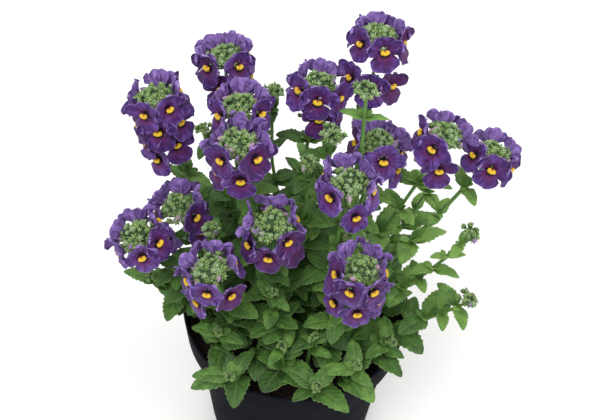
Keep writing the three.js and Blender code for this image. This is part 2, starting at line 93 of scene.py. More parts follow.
# The rules by which stems, flowers and leaves are placed, the same as in the CAD part
STEM_FOOT_RADIUS = 1.7
STEM_TOP_RADIUS = 1.1
STEM_SPANS = 3
STRAIGHT_FOOT = 3.0
FOOT_PULL = 0.4
HEAD_PULL = 0.35
WHORL_DEPTHS = (2.0, 12.5, 23.0, 32.0)
WHORL_REACH = (12.3, 13.0, 13.5, 13.5)
FLOWER_TILT = math.radians(25.0)
SLEEVE_MARGIN = 1.3
STALK_DROP = 5.5
CLUSTER_RADIUS = 7.2
FLOWER_SPOTS = np.array([
    [0, 0, 0], [6, 3, 1], [-6, 3, 1], [0, 7, 0], [6, -4.5, 0], [-6, -4.5, 0], [0, -7.5, 0],
], float)
LEAF_WIDEST = 0.24
LEAF_SLENDERNESS = (0.28, 0.2)
LEAF_RISE = 34.0
LEAF_DROOP = 0.42
LOWEST_LEAF = 14.0
HIGHEST_FIRST_PAIR = 0.55
LAST_PAIR_UNDER_HEAD = 0.86
LAST_PAIR_UNDER_BUDS = 0.94
STEM_REACH = 2.6
PETAL_REACH = 2.2
LEAF_REACH = 2.3
YOUNG_REACH = 0.8
AIR = 1.0
RIM_CLEARANCE = 3.0
BEARING_TRIES = (0, 18, -18, 36, -36, 56, -56, 78, -78)
RISE_TRIES = (0, 20, -16)
SAMPLE_STATIONS = np.array([0.13, 0.26, 0.4, 0.55, 0.7, 0.85, 1.0])
SAMPLE_WIDTHS = np.array([-0.8, 0.0, 0.8])
ROOT_STATIONS = 2
TIP_TAPER = 0.3
STEM_SAMPLES = 32
HEAD_SAMPLES = (4.0, 12.0)


@dataclass(frozen=True)
class Shoot:
    """A stem: its root on the compost, its tip and lean there, and what it bears.

    Leaves are given as pairs, length at the foot, length at the top and the first pair's bearing, whorls
    as the bearings of their flowers, and the bud cluster by its radius.
    """

    name: str
    root: tuple[float, float]
    tip: tuple[float, float, float]
    lean: tuple[float, float]
    leaves: tuple[int, float, float, float]
    whorls: tuple[tuple[float, ...], ...] = ()
    cluster: float = CLUSTER_RADIUS


FLOWERING = (
    Shoot("left_spire", (-36, 10), (-73, 22, 247), (-0.2, 0), (3, 26, 20, 20), (
        (-100, -20, 45, 110, 175), (-60, 0, 58, 130, -135), (-55, 30), (-30,))),
    Shoot("back_left", (-20, 24), (-43, 54, 248), (-0.08, 0.12), (3, 28, 18, 70), (
        (-40, 45, 100, 155, -150, -95), (-5, 85))),
    Shoot("rear_left", (-18, 12), (-32, 20, 247), (-0.05, 0), (2, 26, 20, 35), (
        (-55, 65, 125, 180, -120),)),
    Shoot("upper_left", (-20, -6), (-30, -9, 250), (-0.05, -0.08), (3, 30, 20, 60), (
        (-40, 50, 110, 170, -115), (-55, 5))),
    Shoot("mid_left", (-32, -2), (-62, -5, 198), (-0.15, -0.1), (2, 26, 20, 10), (
        (-70, 60, 120, 180, -125), (-35, 55))),
    Shoot("far_left", (-42, -14), (-76, -34, 210), (-0.3, -0.15), (3, 27, 20, 50), (
        (-55, 15, 70, 130, -170, -110),)),
    Shoot("low_left", (-30, -26), (-41, -46, 203), (-0.12, -0.25), (2, 26, 18, 0), (
        (-118, -62, -4, 114, 172), (-78, 45), (-50,))),
    Shoot("centre", (-8, -20), (-13, -30, 220), (0, -0.18), (3, 28, 18, 30), (
        (-95, 42, 110, 178), (-62, -5, 60))),
    Shoot("tall_back", (18, 28), (33, 49, 270), (0.05, 0.08), (3, 30, 20, 0), (
        (-55, 10, 75, 132, -170, -112), (), (-66, -10, 46))),
    Shoot("back_middle", (-2, 26), (6, 32, 252), (0.14, 0.04), (3, 28, 20, 90), (
        (-62, -5, 58, 170, -120), (8, 66))),
    Shoot("upper_right", (20, 8), (36, 14, 233), (0.08, 0), (3, 30, 20, 50), (
        (-85, 10, 125, -160), (62,))),
    Shoot("right", (32, 14), (67, 15, 239), (0.2, 0), (3, 30, 22, 75), (
        (-92, -35, 120, -178), (2,))),
    Shoot("far_right", (40, 4), (94, 20, 224), (0.3, 0.04), (3, 30, 18, 15), (
        (-70, -10, 55, 115, 180),)),
    Shoot("centre_right", (12, -8), (21, -16, 236), (0, -0.1), (3, 30, 20, 45), (
        (-45, 75, 130, -170, -110), (22,))),
    Shoot("low_right", (18, -28), (29, -46, 209), (0.05, -0.22), (3, 28, 18, 20), (
        (-78, -22, 34, 92, 150, -142), (-88,), (-50, 8, 66))),
    Shoot("behind_left", (-22, 38), (-38, 62, 178), (-0.1, 0.25), (2, 28, 20, 30), (
        (180, 120, -120, 60, -60),)),
    Shoot("behind_right", (26, 40), (45, 61, 186), (0.12, 0.25), (2, 28, 20, 60), (
        (175, 115, -125, 55, -65),)),
)

# The last number is the radius of the shoot's bud cluster
BUDDING = tuple(Shoot(*row, cluster=cluster) for *row, cluster in (
    ("thin_bud", (29, -1), (26, 6, 272), (-0.02, 0.12), (3, 24, 14, 80), 5.6),
    ("middle_bud", (6, 8), (13, 10, 239), (0.05, 0), (4, 30, 18, 15), 6),
    ("low_bud", (-4, 2), (3, -2, 232), (0, 0), (4, 30, 16, 60), 4.4),
    ("hidden_bud", (25, -15), (28, -15, 194), (0.1, 0), (3, 26, 18, 0), 5),
    ("right_bud", (44, -8), (87, -5, 190), (0.25, 0), (4, 24, 15, 60), 4.8),
    ("low_right_bud", (46, -18), (91, -20, 153), (0.35, 0), (3, 30, 20, 40), 5),
    ("side_left_bud", (-35, -14), (-43, -21, 202), (-0.05, -0.05), (2, 24, 16, 90), 4.4),
    ("rear_left_bud", (-30, 22), (-50, 16, 233), (-0.15, 0), (2, 24, 16, 60), 3.6),
    ("rear_bud", (-8, 32), (-17, 34, 243), (0.1, 0), (3, 24, 16, 0), 4.8),
    ("front_tip_a", (-8, -36), (-12, -37, 175), (0, -0.1), (3, 26, 15, 45), 2.6),
    ("front_tip_b", (-20, -38), (-17, -36, 143), (0, -0.1), (2, 26, 16, 0), 2.6),
    ("front_tip_c", (-4, -46), (-6, -47, 140), (0, -0.1), (2, 24, 15, 60), 2.6),
    ("front_tip_d", (8, -40), (10, -42, 142), (0.05, -0.1), (2, 28, 17, 20), 2.6),
    ("front_tip_e", (-38, -34), (-40, -40, 140), (-0.1, -0.1), (2, 26, 18, 30), 2.6),
    ("front_tip_f", (-26, -44), (-32, -61, 131), (-0.1, -0.25), (2, 28, 22, 55), 2.8),
    ("front_tip_g", (38, -32), (52, -36, 133), (0.2, -0.1), (2, 28, 20, 60), 3),
    ("front_tip_h", (10, -52), (13, -64, 130), (0, -0.25), (2, 30, 22, 50), 2.8),
    ("front_tip_i", (27, -46), (34, -54, 136), (0.1, -0.15), (2, 28, 20, 20), 2.8),
    ("left_tip", (-50, -6), (-76, -22, 160), (-0.3, -0.1), (3, 30, 22, 80), 2.6),
    ("back_tip_a", (2, 44), (4, 66, 168), (0, 0.25), (3, 32, 20, 30), 3),
    ("back_tip_b", (-40, 30), (-66, 46, 168), (-0.2, 0.15), (3, 32, 20, 60), 3),
    ("back_tip_c", (44, 26), (72, 44, 172), (0.2, 0.15), (3, 32, 20, 20), 3),
))


def unit(vectors: Any) -> Array:
    """Vectors made one long, over the last axis."""
    vectors = np.asarray(vectors, float)
    return vectors / np.maximum(np.linalg.norm(vectors, axis=-1, keepdims=True), 1e-12)


def square_to(vectors: Array, axes: Array) -> Array:
    """The unit directions of vectors, less what of each lies along its unit axis."""
    return unit(vectors - axes * (vectors * axes).sum(-1, keepdims=True))


def lerp(low: Any, high: Any, share: Any) -> Any:
    """The value a share of the way from low to high."""
    return low + (high - low) * share


def outward(bearing: float, axis: Array) -> Array:
    """The direction of a bearing, made square to an axis.

    Args:
        bearing: Degrees about +Z, 0 towards the front.
        axis: Unit vector that the direction is square to.

    Returns:
        A unit vector.
    """
    angle = math.radians(bearing)
    flat = np.array([math.sin(angle), -math.cos(angle), 0.0])
    return unit(flat - axis * flat.dot(axis))


def bezier(corners: Sequence[Array], shares: Array) -> Array:
    """Points of Bezier curves: each corner weighted by its Bernstein polynomial at each share.

    Args:
        corners: The control points, each ... x 3.
        shares: Where along the curves, 0 to 1.

    Returns:
        Points, ... x shares x 3.
    """
    n = len(corners) - 1
    weights = [math.comb(n, i) * shares**i * (1 - shares) ** (n - i) for i in range(n + 1)]
    return sum(w[:, None] * np.asarray(c, float)[..., None, :] for w, c in zip(weights, corners))


def gather(places: Sequence[Any], *names: str) -> list[Array]:
    """For each name, an array of that value of all places."""
    return [np.array([getattr(place, name) for place in places]) for name in names]


class StemLine:
    """A shoot's line: a straight foot in the compost, a curve, and a straight top inside its head."""

    def __init__(self, shoot: Shoot) -> None:
        """Work out the foot, the bends of the curve and the tip.

        Args:
            shoot: The row that they are worked out from.
        """
        self.shoot = shoot
        self.axis = unit([*shoot.lean, 1.0])
        self.tip = np.array(shoot.tip, float)
        self.foot = np.array([*shoot.root, COMPOST_TOP - ROOT_DEPTH + SEAT_GAP])
        start = np.array([*shoot.root, COMPOST_TOP + STRAIGHT_FOOT])
        end = self.tip - self.axis * self.head_length()
        rise = float(np.linalg.norm(end - start))
        corners = [start, start + UP * rise * FOOT_PULL, end - self.axis * rise * HEAD_PULL, end]
        self.bends = bezier(corners, np.linspace(0, 1, STEM_SPANS + 1))
        self.turn = shoot.leaves[3] + 45

    def head_length(self) -> float:
        """How far down the stem the head reaches: to its last flower stalk, or a bud cluster's radius.

        Returns:
            The length in millimetres.
        """
        if not self.shoot.whorls:
            return self.shoot.cluster
        return WHORL_DEPTHS[len(self.shoot.whorls) - 1] + STALK_DROP + 2 * SLEEVE_MARGIN

    def at(self, share: float) -> Array:
        """The point at a share of the way up the curve, on the chord between two bends.

        Args:
            share: 0 at the foot of the curve, 1 at its end.

        Returns:
            The point.
        """
        place = share * STEM_SPANS
        span = min(int(place), STEM_SPANS - 1)
        return lerp(self.bends[span], self.bends[span + 1], place - span)

    def samples(self) -> Array:
        """Points a few millimetres apart, for keeping leaves clear."""
        curve = [self.at(i / STEM_SAMPLES) for i in range(STEM_SAMPLES + 1)]
        return np.array(curve + [self.tip - self.axis * depth for depth in HEAD_SAMPLES])


@dataclass
class LeafPlace:
    """A leaf's place: root, direction of its start, level side direction and size."""

    root: Array
    start: Array
    side: Array
    length: float
    half_width: float
    bearing: float
    youth_and_shade: float = 0.5

    @classmethod
    def on(cls, stem: StemLine, station: float, bearing: float, rise: float, length: float) -> "LeafPlace":
        """The place of a leaf that stands on a stem.

        Args:
            stem: The stem it grows from.
            station: Share of the way up the stem's curve.
            bearing: Which way it points.
            rise: Degrees above level at its root.
            length: Along the midrib, in millimetres.

        Returns:
            The leaf's place.
        """
        out = outward(bearing, UP)
        tilt = math.radians(rise)
        start = out * math.cos(tilt) + UP * math.sin(tilt)
        half_width = length * lerp(*LEAF_SLENDERNESS, station)
        return cls(stem.at(station), start, unit(np.cross(out, UP)), length, half_width, bearing)

    def samples(self) -> Array:
        """Points over the blade, whose midrib drops by the square of the way along it.

        Returns:
            Rows of three points across it, root to tip.
        """
        along = SAMPLE_STATIONS[:, None]
        rib = self.root + self.start * self.length * along - UP * LEAF_DROOP * self.length * along**2
        widths = np.minimum(np.minimum(along / LEAF_WIDEST, 1), (1 - along) / TIP_TAPER)
        across = (SAMPLE_WIDTHS * widths)[..., None] * self.half_width
        return (rib[:, None, :] + self.side * across).reshape(-1, 3)


@dataclass
class FlowerPlace:
    """One flower's place and directions: throat, right, up and forward, and the stalk's root."""

    root: Array
    out: Array
    axis: Array
    throat: Array
    right: Array
    up: Array
    forward: Array

    @classmethod
    def on(cls, stem: StemLine, whorl: int, bearing: float) -> "FlowerPlace":
        """The place of a flower in a head, facing out and a little upwards.

        Args:
            stem: The stem it grows from.
            whorl: Number of its whorl, from the top.
            bearing: Which way it faces.

        Returns:
            The flower's place.
        """
        out = outward(bearing, stem.axis)
        root = stem.tip - stem.axis * WHORL_DEPTHS[whorl]
        forward = out * math.cos(FLOWER_TILT) + stem.axis * math.sin(FLOWER_TILT)
        up = stem.axis * math.cos(FLOWER_TILT) - out * math.sin(FLOWER_TILT)
        throat = root + out * WHORL_REACH[whorl]
        return cls(root, out, stem.axis, throat, np.cross(up, forward), up, forward)

    def samples(self) -> Array:
        """Points over the face of the flower."""
        return self.throat + FLOWER_SPOTS @ np.array([self.right, self.up, self.forward])


@dataclass
class Grown:
    """A shoot with its line and the places of its flowers and leaves."""

    shoot: Shoot
    stem: StemLine
    number: int
    flowers: list[FlowerPlace] = field(default_factory=list)
    leaves: list[LeafPlace] = field(default_factory=list)
    young: list[LeafPlace] = field(default_factory=list)

    def stations(self) -> list[tuple[float, float, float]]:
        """The CAD's leaf pairs, evenly spaced, each turned a right angle from the one below.

        Returns:
            Each pair's station up the stem, length and bearing.
        """
        pairs, foot_length, top_length, bearing = self.shoot.leaves
        first = min(LOWEST_LEAF / (self.stem.tip[2] - COMPOST_TOP), HIGHEST_FIRST_PAIR)
        last = LAST_PAIR_UNDER_HEAD if self.flowers else LAST_PAIR_UNDER_BUDS
        rows = []
        for i in range(pairs):
            share = i / (pairs - 1)
            length = lerp(foot_length, top_length, share)
            rows.append((lerp(first, last, share), length, bearing + 90.0 * i))
        return rows


class Space:
    """The places already taken, so that each leaf can be bent clear of them."""

    def __init__(self) -> None:
        """Start with nothing taken."""
        self.points = np.empty((0, 3))
        self.reaches = np.empty(0)
        self.owners = np.empty(0, int)

    def take(self, points: Array, reach: float, owner: int = -1) -> None:
        """Keep the room round some points.

        Args:
            points: Middles of what is taken, count x 3.
            reach: How far round each of them it is taken.
            owner: The stem that it belongs to, or -1 for none.
        """
        self.points = np.vstack([self.points, points])
        self.reaches = np.append(self.reaches, np.full(len(points), reach))
        self.owners = np.append(self.owners, np.full(len(points), owner))

    def free(self, points: Array, owner: int, rows_at_root: int, air: float = AIR) -> bool:
        """True where rows of points are clear of everything taken, of the rim and of the compost.

        Args:
            points: Rows of three points across a blade, root to tip.
            owner: The stem that the blade grows on.
            rows_at_root: Rows that needn't keep clear of their own stem.
            air: Room to leave beyond each reach.

        Returns:
            Whether all the points are clear.
        """
        radius = np.hypot(points[:, 0], points[:, 1])
        floor = np.where(radius > BODY_RADIUS, POT_HEIGHT, COMPOST_TOP) + RIM_CLEARANCE
        if np.any((radius < RIM_RADIUS + RIM_CLEARANCE) & (points[:, 2] < floor)):
            return False
        furthest = CLUSTER_RADIUS + AIR
        low, high = points.min(axis=0) - furthest, points.max(axis=0) + furthest
        near = ((self.points > low) & (self.points < high)).all(axis=1)
        gaps = np.linalg.norm(points[:, None, :] - self.points[None, near, :], axis=2)
        clear = gaps > self.reaches[near] + air
        at_root = np.arange(len(points)) < rows_at_root * len(SAMPLE_WIDTHS)
        clear |= at_root[:, None] & (self.owners[near] == owner)[None, :]
        return bool(clear.all())

    def settle(self, grown: Grown, station: float, bearing: float, length: float) -> None:
        """Give a shoot a leaf, turned or raised by the first try that is clear, or none.

        Args:
            grown: The shoot.
            station: Share of the way up the stem's curve.
            bearing: Which way the leaf points at the first try.
            length: Along its midrib, in millimetres.
        """
        for extra_rise in RISE_TRIES:
            for turn in BEARING_TRIES:
                rise = LEAF_RISE + extra_rise
                leaf = LeafPlace.on(grown.stem, station, bearing + turn, rise, length)
                points = leaf.samples()
                if self.free(points, grown.number, ROOT_STATIONS):
                    self.take(points, LEAF_REACH, grown.number)
                    grown.leaves.append(leaf)
                    return


def grow() -> tuple[list[Grown], Space]:
    """Place all flowers and leaves in the same order and by the same rule as the CAD.

    Returns:
        Every shoot with its flowers and leaves, and the places that they take.
    """
    space = Space()
    plants = []
    for number, shoot in enumerate(FLOWERING + BUDDING):
        stem = StemLine(shoot)
        grown = Grown(shoot, stem, number)
        for whorl, bearings in enumerate(shoot.whorls):
            grown.flowers += [FlowerPlace.on(stem, whorl, bearing) for bearing in bearings]
        space.take(stem.samples(), STEM_REACH, number)
        space.take(stem.tip[None, :], shoot.cluster)
        for flower in grown.flowers:
            space.take(flower.samples(), PETAL_REACH)
        plants.append(grown)
    for grown in plants:
        for station, length, bearing in grown.stations():
            for half in (0, 180):
                space.settle(grown, station, bearing + half, length)
    return plants, space


# Meshes: blocks of points and faces that end in one object


@dataclass
class Patch:
    """Points in millimetres with their faces, and what a material reads of each point."""

    points: Array
    faces: list[Array]
    uv: Array
    traits: dict[str, Array]


def stand(name: str, data: Any) -> bpy.types.Object:
    """Put a new object in the scene.

    Args:
        name: The object's name.
        data: Its mesh, lamp or camera.

    Returns:
        The object.
    """
    thing = bpy.data.objects.new(name, data)
    bpy.context.scene.collection.objects.link(thing)
    return thing


def new_mesh(name: str, points: Array, faces: list[Array]) -> bpy.types.Mesh:
    """Make a mesh.

    Args:
        name: The mesh's name.
        points: In metres, count x 3.
        faces: Blocks of faces with the same number of corners.

    Returns:
        The mesh.
    """
    mesh = bpy.data.meshes.new(name)
    mesh.from_pydata(points.tolist(), [], [face for block in faces for face in block.tolist()])
    return mesh


def place_piece(mesh: bpy.types.Mesh, name: str, replaces: str) -> bpy.types.Object:
    """Link a mesh as a piece that rides on the body and stands for a CAD node.

    Args:
        mesh: The finished mesh.
        name: The piece's name.
        replaces: The CAD node.

    Returns:
        The object.
    """
    mesh.validate()
    piece = stand(name, mesh)
    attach(piece, BODY)
    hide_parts(replaces)
    LOG.info("%s: %d faces", name, len(mesh.polygons))
    return piece


class Heap:
    """Patches that together make one mesh, each with its finish."""

    def __init__(self) -> None:
        """Start empty."""
        self.parts: list[tuple[Patch, int]] = []

    def add(self, finish: int, *patches: Patch) -> None:
        """Put in patches that show the finish of that number."""
        self.parts += [(patch, finish) for patch in patches]

    def trait(self, name: str) -> Array:
        """What all points have of a trait, 0 in a patch without it."""
        return np.concatenate([p.traits.get(name, np.zeros(len(p.points))) for p, _ in self.parts])

    def make(
        self, name: str, finishes: Sequence[bpy.types.Material], replaces: str, slot: str
    ) -> bpy.types.Object:
        """Turn the patches into one object that stands for a CAD node.

        Args:
            name: The piece's name.
            finishes: Materials, by the numbers that patches were added with.
            replaces: The CAD node.
            slot: The record's material slot; not used.

        Returns:
            The object, at the origin.
        """
        starts = np.cumsum([0] + [len(p.points) for p, _ in self.parts])
        faces = [block + start for (p, _), start in zip(self.parts, starts) for block in p.faces]
        points = np.vstack([p.points for p, _ in self.parts]) * METRES
        mesh = new_mesh(name, np.clip(points, *np.array(CAD_BOX)), faces)
        mesh.update(calc_edges=True)
        corners = np.empty(len(mesh.loops), int)
        mesh.loops.foreach_get("vertex_index", corners)
        uv = np.vstack([p.uv for p, _ in self.parts])[corners]
        mesh.uv_layers.new(name="UVMap").data.foreach_set("uv", uv.astype(np.float32).ravel())
        for trait in ("tone", "side", "flush"):
            layer = mesh.attributes.new(trait, "FLOAT", "POINT")
            layer.data.foreach_set("value", self.trait(trait).astype(np.float32))
        numbers = [finish for p, finish in self.parts for block in p.faces for _ in block]
        mesh.polygons.foreach_set("material_index", np.array(numbers, dtype=np.int32))
        mesh.shade_smooth()
        # edges along the rim of a sheet are sharp, so that its two faces shade apart
        ends = np.empty(2 * len(mesh.edges), int)
        mesh.edges.foreach_get("vertices", ends)
        one, other = self.trait("rim")[ends].reshape(-1, 2).T
        mesh.edges.foreach_set("use_edge_sharp", (one > 0) & (one == other))
        for finish in finishes:
            mesh.materials.append(finish)
        return place_piece(mesh, name, replaces)


def spread(values: Any, shape: tuple[int, ...]) -> Array:
    """Values repeated to a shape and laid flat."""
    return np.broadcast_to(np.asarray(values, float), shape).reshape(-1)


def chart(across: Array, along: Array, shape: tuple[int, ...]) -> Array:
    """UV coordinates of points in a shape."""
    return np.stack([spread(across, shape), spread(along, shape)], axis=-1)


def repeat_faces(block: Array, copies: int, step: int) -> Array:
    """A block of faces repeated for every copy of its points."""
    return (block[None] + np.arange(copies)[:, None, None] * step).reshape(-1, block.shape[1])


def sheets(middle: Array, thickness: Any, tone: Any, flush: Any = 0.0) -> Patch:
    """Thin closed sheets, the same grid for each.

    Each middle surface is moved half its thickness to both sides along its normal, which is across
    times along, and the two faces are joined round the rim.

    Args:
        middle: Points, copies x rows along x columns across x 3.
        thickness: Millimetres, spread over copies x rows x columns.
        tone: A number for each copy that varies its colour.
        flush: How much of the throat's colour each point has.

    Returns:
        The patch, with side 1 on the upper face and 0 on the lower.
    """
    copies, rows, columns, _ = middle.shape
    normal = unit(np.cross(np.gradient(middle, axis=2), np.gradient(middle, axis=1)))
    half = np.broadcast_to(np.asarray(thickness, float), middle.shape[:3])[..., None] / 2
    points = np.stack([middle + normal * half, middle - normal * half], axis=1)
    size = rows * columns
    grid = np.arange(size).reshape(rows, columns)
    corners = [grid[:-1, :-1], grid[:-1, 1:], grid[1:, 1:], grid[1:, :-1]]
    front = np.stack(corners, axis=-1).reshape(-1, 4)
    loop = np.concatenate([grid[0, :-1], grid[:-1, -1], grid[-1, :0:-1], grid[:0:-1, 0]])
    ahead = np.roll(loop, -1)
    edge = np.stack([ahead, loop, loop + size, ahead + size], axis=-1)
    faces = repeat_faces(np.vstack([front, front[:, ::-1] + size, edge]), copies, 2 * size)
    shape = (copies, 2, rows, columns)
    upper = np.array([1.0, 0.0])[:, None, None]
    traits = {
        "tone": spread(np.reshape(tone, (-1, 1, 1, 1)), shape),
        "side": spread(upper, shape),
        "flush": spread(np.broadcast_to(flush, (copies, rows, columns))[:, None], shape),
        "rim": spread(np.isin(grid, loop) * (2 - upper), shape),
    }
    uv = chart(np.linspace(0, 1, columns), np.linspace(0, 1, rows)[:, None], shape)
    return Patch(points.reshape(-1, 3), [faces], uv, traits)


def tubes(rings: Array, tone: Any = 0.5, side: Any = 1.0, flush: Any = 0.0) -> Patch:
    """Closed tubes: rings of points joined in order, each end closed by one face.

    Args:
        rings: Points, copies x rings x points round x 3, anticlockwise seen from the far end.
        tone: A number for each copy that varies its colour.
        side: 0 for the paler inside or back colour, 1 for the front's.
        flush: How much of the second colour each ring has.

    Returns:
        The patch.
    """
    copies, count, around, _ = rings.shape
    grid = np.arange(count * around).reshape(count, around)
    beside = np.roll(grid, -1, axis=1)
    walls = np.stack([grid[:-1], beside[:-1], beside[1:], grid[1:]], axis=-1).reshape(-1, 4)
    caps = np.stack([grid[0, ::-1], grid[-1]])
    faces = [repeat_faces(block, copies, grid.size) for block in (walls, caps)]
    shape = (copies, count, around)
    traits = {
        "tone": spread(np.reshape(tone, (-1, 1, 1)), shape),
        "side": spread(side, shape),
        "flush": spread(np.broadcast_to(flush, (copies, count))[..., None], shape),
    }
    uv = chart(np.arange(around) / around, np.linspace(0, 1, count)[:, None], shape)
    return Patch(rings.reshape(-1, 3), faces, uv, traits)


def rods(path: Array, radii: Any, section: Array, lead: Array, *looks: Any) -> Patch:
    """Tubes along paths: each ring is the section, scaled, in the plane square to the path.

    Args:
        path: Points, copies x rings x 3.
        radii: Copies x rings, or anything that spreads to it.
        section: Points round x 2, as shares of the radius.
        lead: The direction that the section's first axis keeps to, copies x 3 or 3.
        looks: Tone, side and flush, as for tubes.

    Returns:
        The patch.
    """
    ahead = unit(np.gradient(path, axis=1))
    first = square_to(np.broadcast_to(lead, (len(path), 3))[:, None, :], ahead)
    frames = np.stack([first, np.cross(ahead, first)], axis=-2)
    scale = np.broadcast_to(radii, path.shape[:2])[:, :, None, None]
    return tubes(path[:, :, None, :] + section @ frames * scale, *looks)


def lathe(rows: Sequence[Sequence[float]], around: int, lobes: int = 5, shift: float = 0.0) -> Array:
    """Rings about a piece's third direction, round or lobed.

    Args:
        rows: Each ring's height, what its lobes have more of it, its radius, and what they have more.
        around: Points in each ring.
        lobes: How many lobes it has.
        shift: How far the rings stand off along the second direction.

    Returns:
        Points, rings x around x 3.
    """
    angle = np.arange(around) * TURN / around
    tip = 0.5 + 0.5 * np.cos(lobes * angle)
    height, higher, radius, wider = np.array(rows, float).T[:, :, None]
    girth = radius + wider * tip
    rings = [girth * np.cos(angle), girth * np.sin(angle) + shift, height + higher * tip]
    return np.stack(rings, axis=-1)


def ring_section(around: int, wave: float = 0.0, lobes: int = 4) -> Array:
    """A round section, around x 2, whose radius is 1 less a share, wave, between its lobes."""
    return lathe([(0, 0, 1 - wave, wave)], around, lobes)[0, :, :2]


def into_place(local: Array, origin: Array, basis: Array, scale: Array) -> Array:
    """Points given in a piece's own three directions, scaled and put at each of its places.

    Args:
        local: Points, any x any x 3 for all places alike, or copies x any x any x 3.
        origin: Each place, copies x 3.
        basis: Each place's three directions, copies x 3 x 3.
        scale: Each place's size.

    Returns:
        Points, copies x any x any x 3.
    """
    local = np.broadcast_to(local, (len(origin),) + local.shape[-3:])
    world = np.einsum("nabi,nij->nabj", local * np.reshape(scale, (-1, 1, 1, 1)), basis)
    return world + origin[:, None, None, :]


def needles(base: Array, direction: Array, length: Array, tone: float) -> Patch:
    """Hairs: each a thin three-sided spike, closed at its foot.

    Args:
        base: Feet, count x 3.
        direction: Unit directions, count x 3.
        length: Of each, in millimetres.
        tone: Varies their colour.

    Returns:
        The patch, which shows the colour of a tip.
    """
    count = len(base)
    helper = np.where(np.abs(direction[:, 2:]) < 0.8, UP, np.array([1.0, 0.0, 0.0]))
    first = unit(np.cross(direction, helper))
    frames = np.stack([first, np.cross(direction, first)], axis=1)
    feet = base[:, None] + HAIR_RADIUS * ring_section(3) @ frames
    tips = base + direction * length[:, None]
    points = np.concatenate([feet, tips[:, None]], axis=1).reshape(-1, 3)
    block = np.array([[0, 1, 3], [1, 2, 3], [2, 0, 3], [0, 2, 1]])
    uv = np.tile([0.5, 1.0], (len(points), 1))
    return Patch(points, [repeat_faces(block, count, 4)], uv, {"tone": np.full(len(points), tone)})


# Materials


def linear(colour: str) -> tuple[float, float, float, float]:
    """An sRGB hex colour as linear red, green, blue and alpha."""
    parts = [int(colour[i : i + 2], 16) / 255 for i in (1, 3, 5)]
    return (*[c / 12.92 if c <= 0.04045 else ((c + 0.055) / 1.055) ** 2.4 for c in parts], 1.0)


def add_node(
    tree: bpy.types.NodeTree,
    kind: str,
    *values: Any,
    out: str = "",
    stops: Sequence[tuple[float, str]] = (),
    **named: Any,
) -> Socket | None:
    """Add one node with its settings and links.

    Args:
        tree: The material's tree.
        kind: The node's type name without its "ShaderNode" and, after a space, its operation.
        values: For its inputs in order: a number, a vector, a hex colour or another node's socket.
        out: The output to return, if not the first.
        stops: A ramp's places and colours.
        named: Its properties by their names, and inputs by theirs, with _ for each space.

    Returns:
        The output's socket.
    """
    kind, _, operation = kind.partition(" ")
    node = tree.nodes.new("ShaderNode" + kind)
    settings = {key: value for key, value in named.items() if key.islower()}
    if operation:
        settings["operation"] = operation
    for key, value in settings.items():
        setattr(node, key, value)
    elements = node.color_ramp.elements if stops else ()
    while len(elements) < len(stops):
        elements.new(1.0)
    for element, (position, colour) in zip(elements, stops):
        element.position = position
        element.color = linear(colour)
    inputs = list(zip([socket for socket in node.inputs if socket.enabled], values))
    inputs += [(node.inputs[k.replace("_", " ")], v) for k, v in named.items() if k not in settings]
    for socket, value in inputs:
        if isinstance(value, Socket):
            tree.links.new(value, socket)
        else:
            socket.default_value = linear(value) if isinstance(value, str) else value
    return node.outputs[out] if out else next((s for s in node.outputs if s.enabled), None)


@dataclass(frozen=True)
class Finish:
    """A material whose tree is made from nothing."""

    name: str

    def make(self) -> bpy.types.Material:
        """Make the material.

        Returns:
            The material, with the output of dress as its surface.
        """
        material = bpy.data.materials.new(self.name)
        material.use_nodes = True
        material.node_tree.nodes.clear()
        add = partial(add_node, material.node_tree)
        add("OutputMaterial", Surface=self.dress(add))
        return material

    def dress(self, add: Adder) -> Socket:
        """Make the nodes.

        Args:
            add: Adds one node to the material's tree, as add_node does.

        Returns:
            The output of the shader.
        """
        raise NotImplementedError


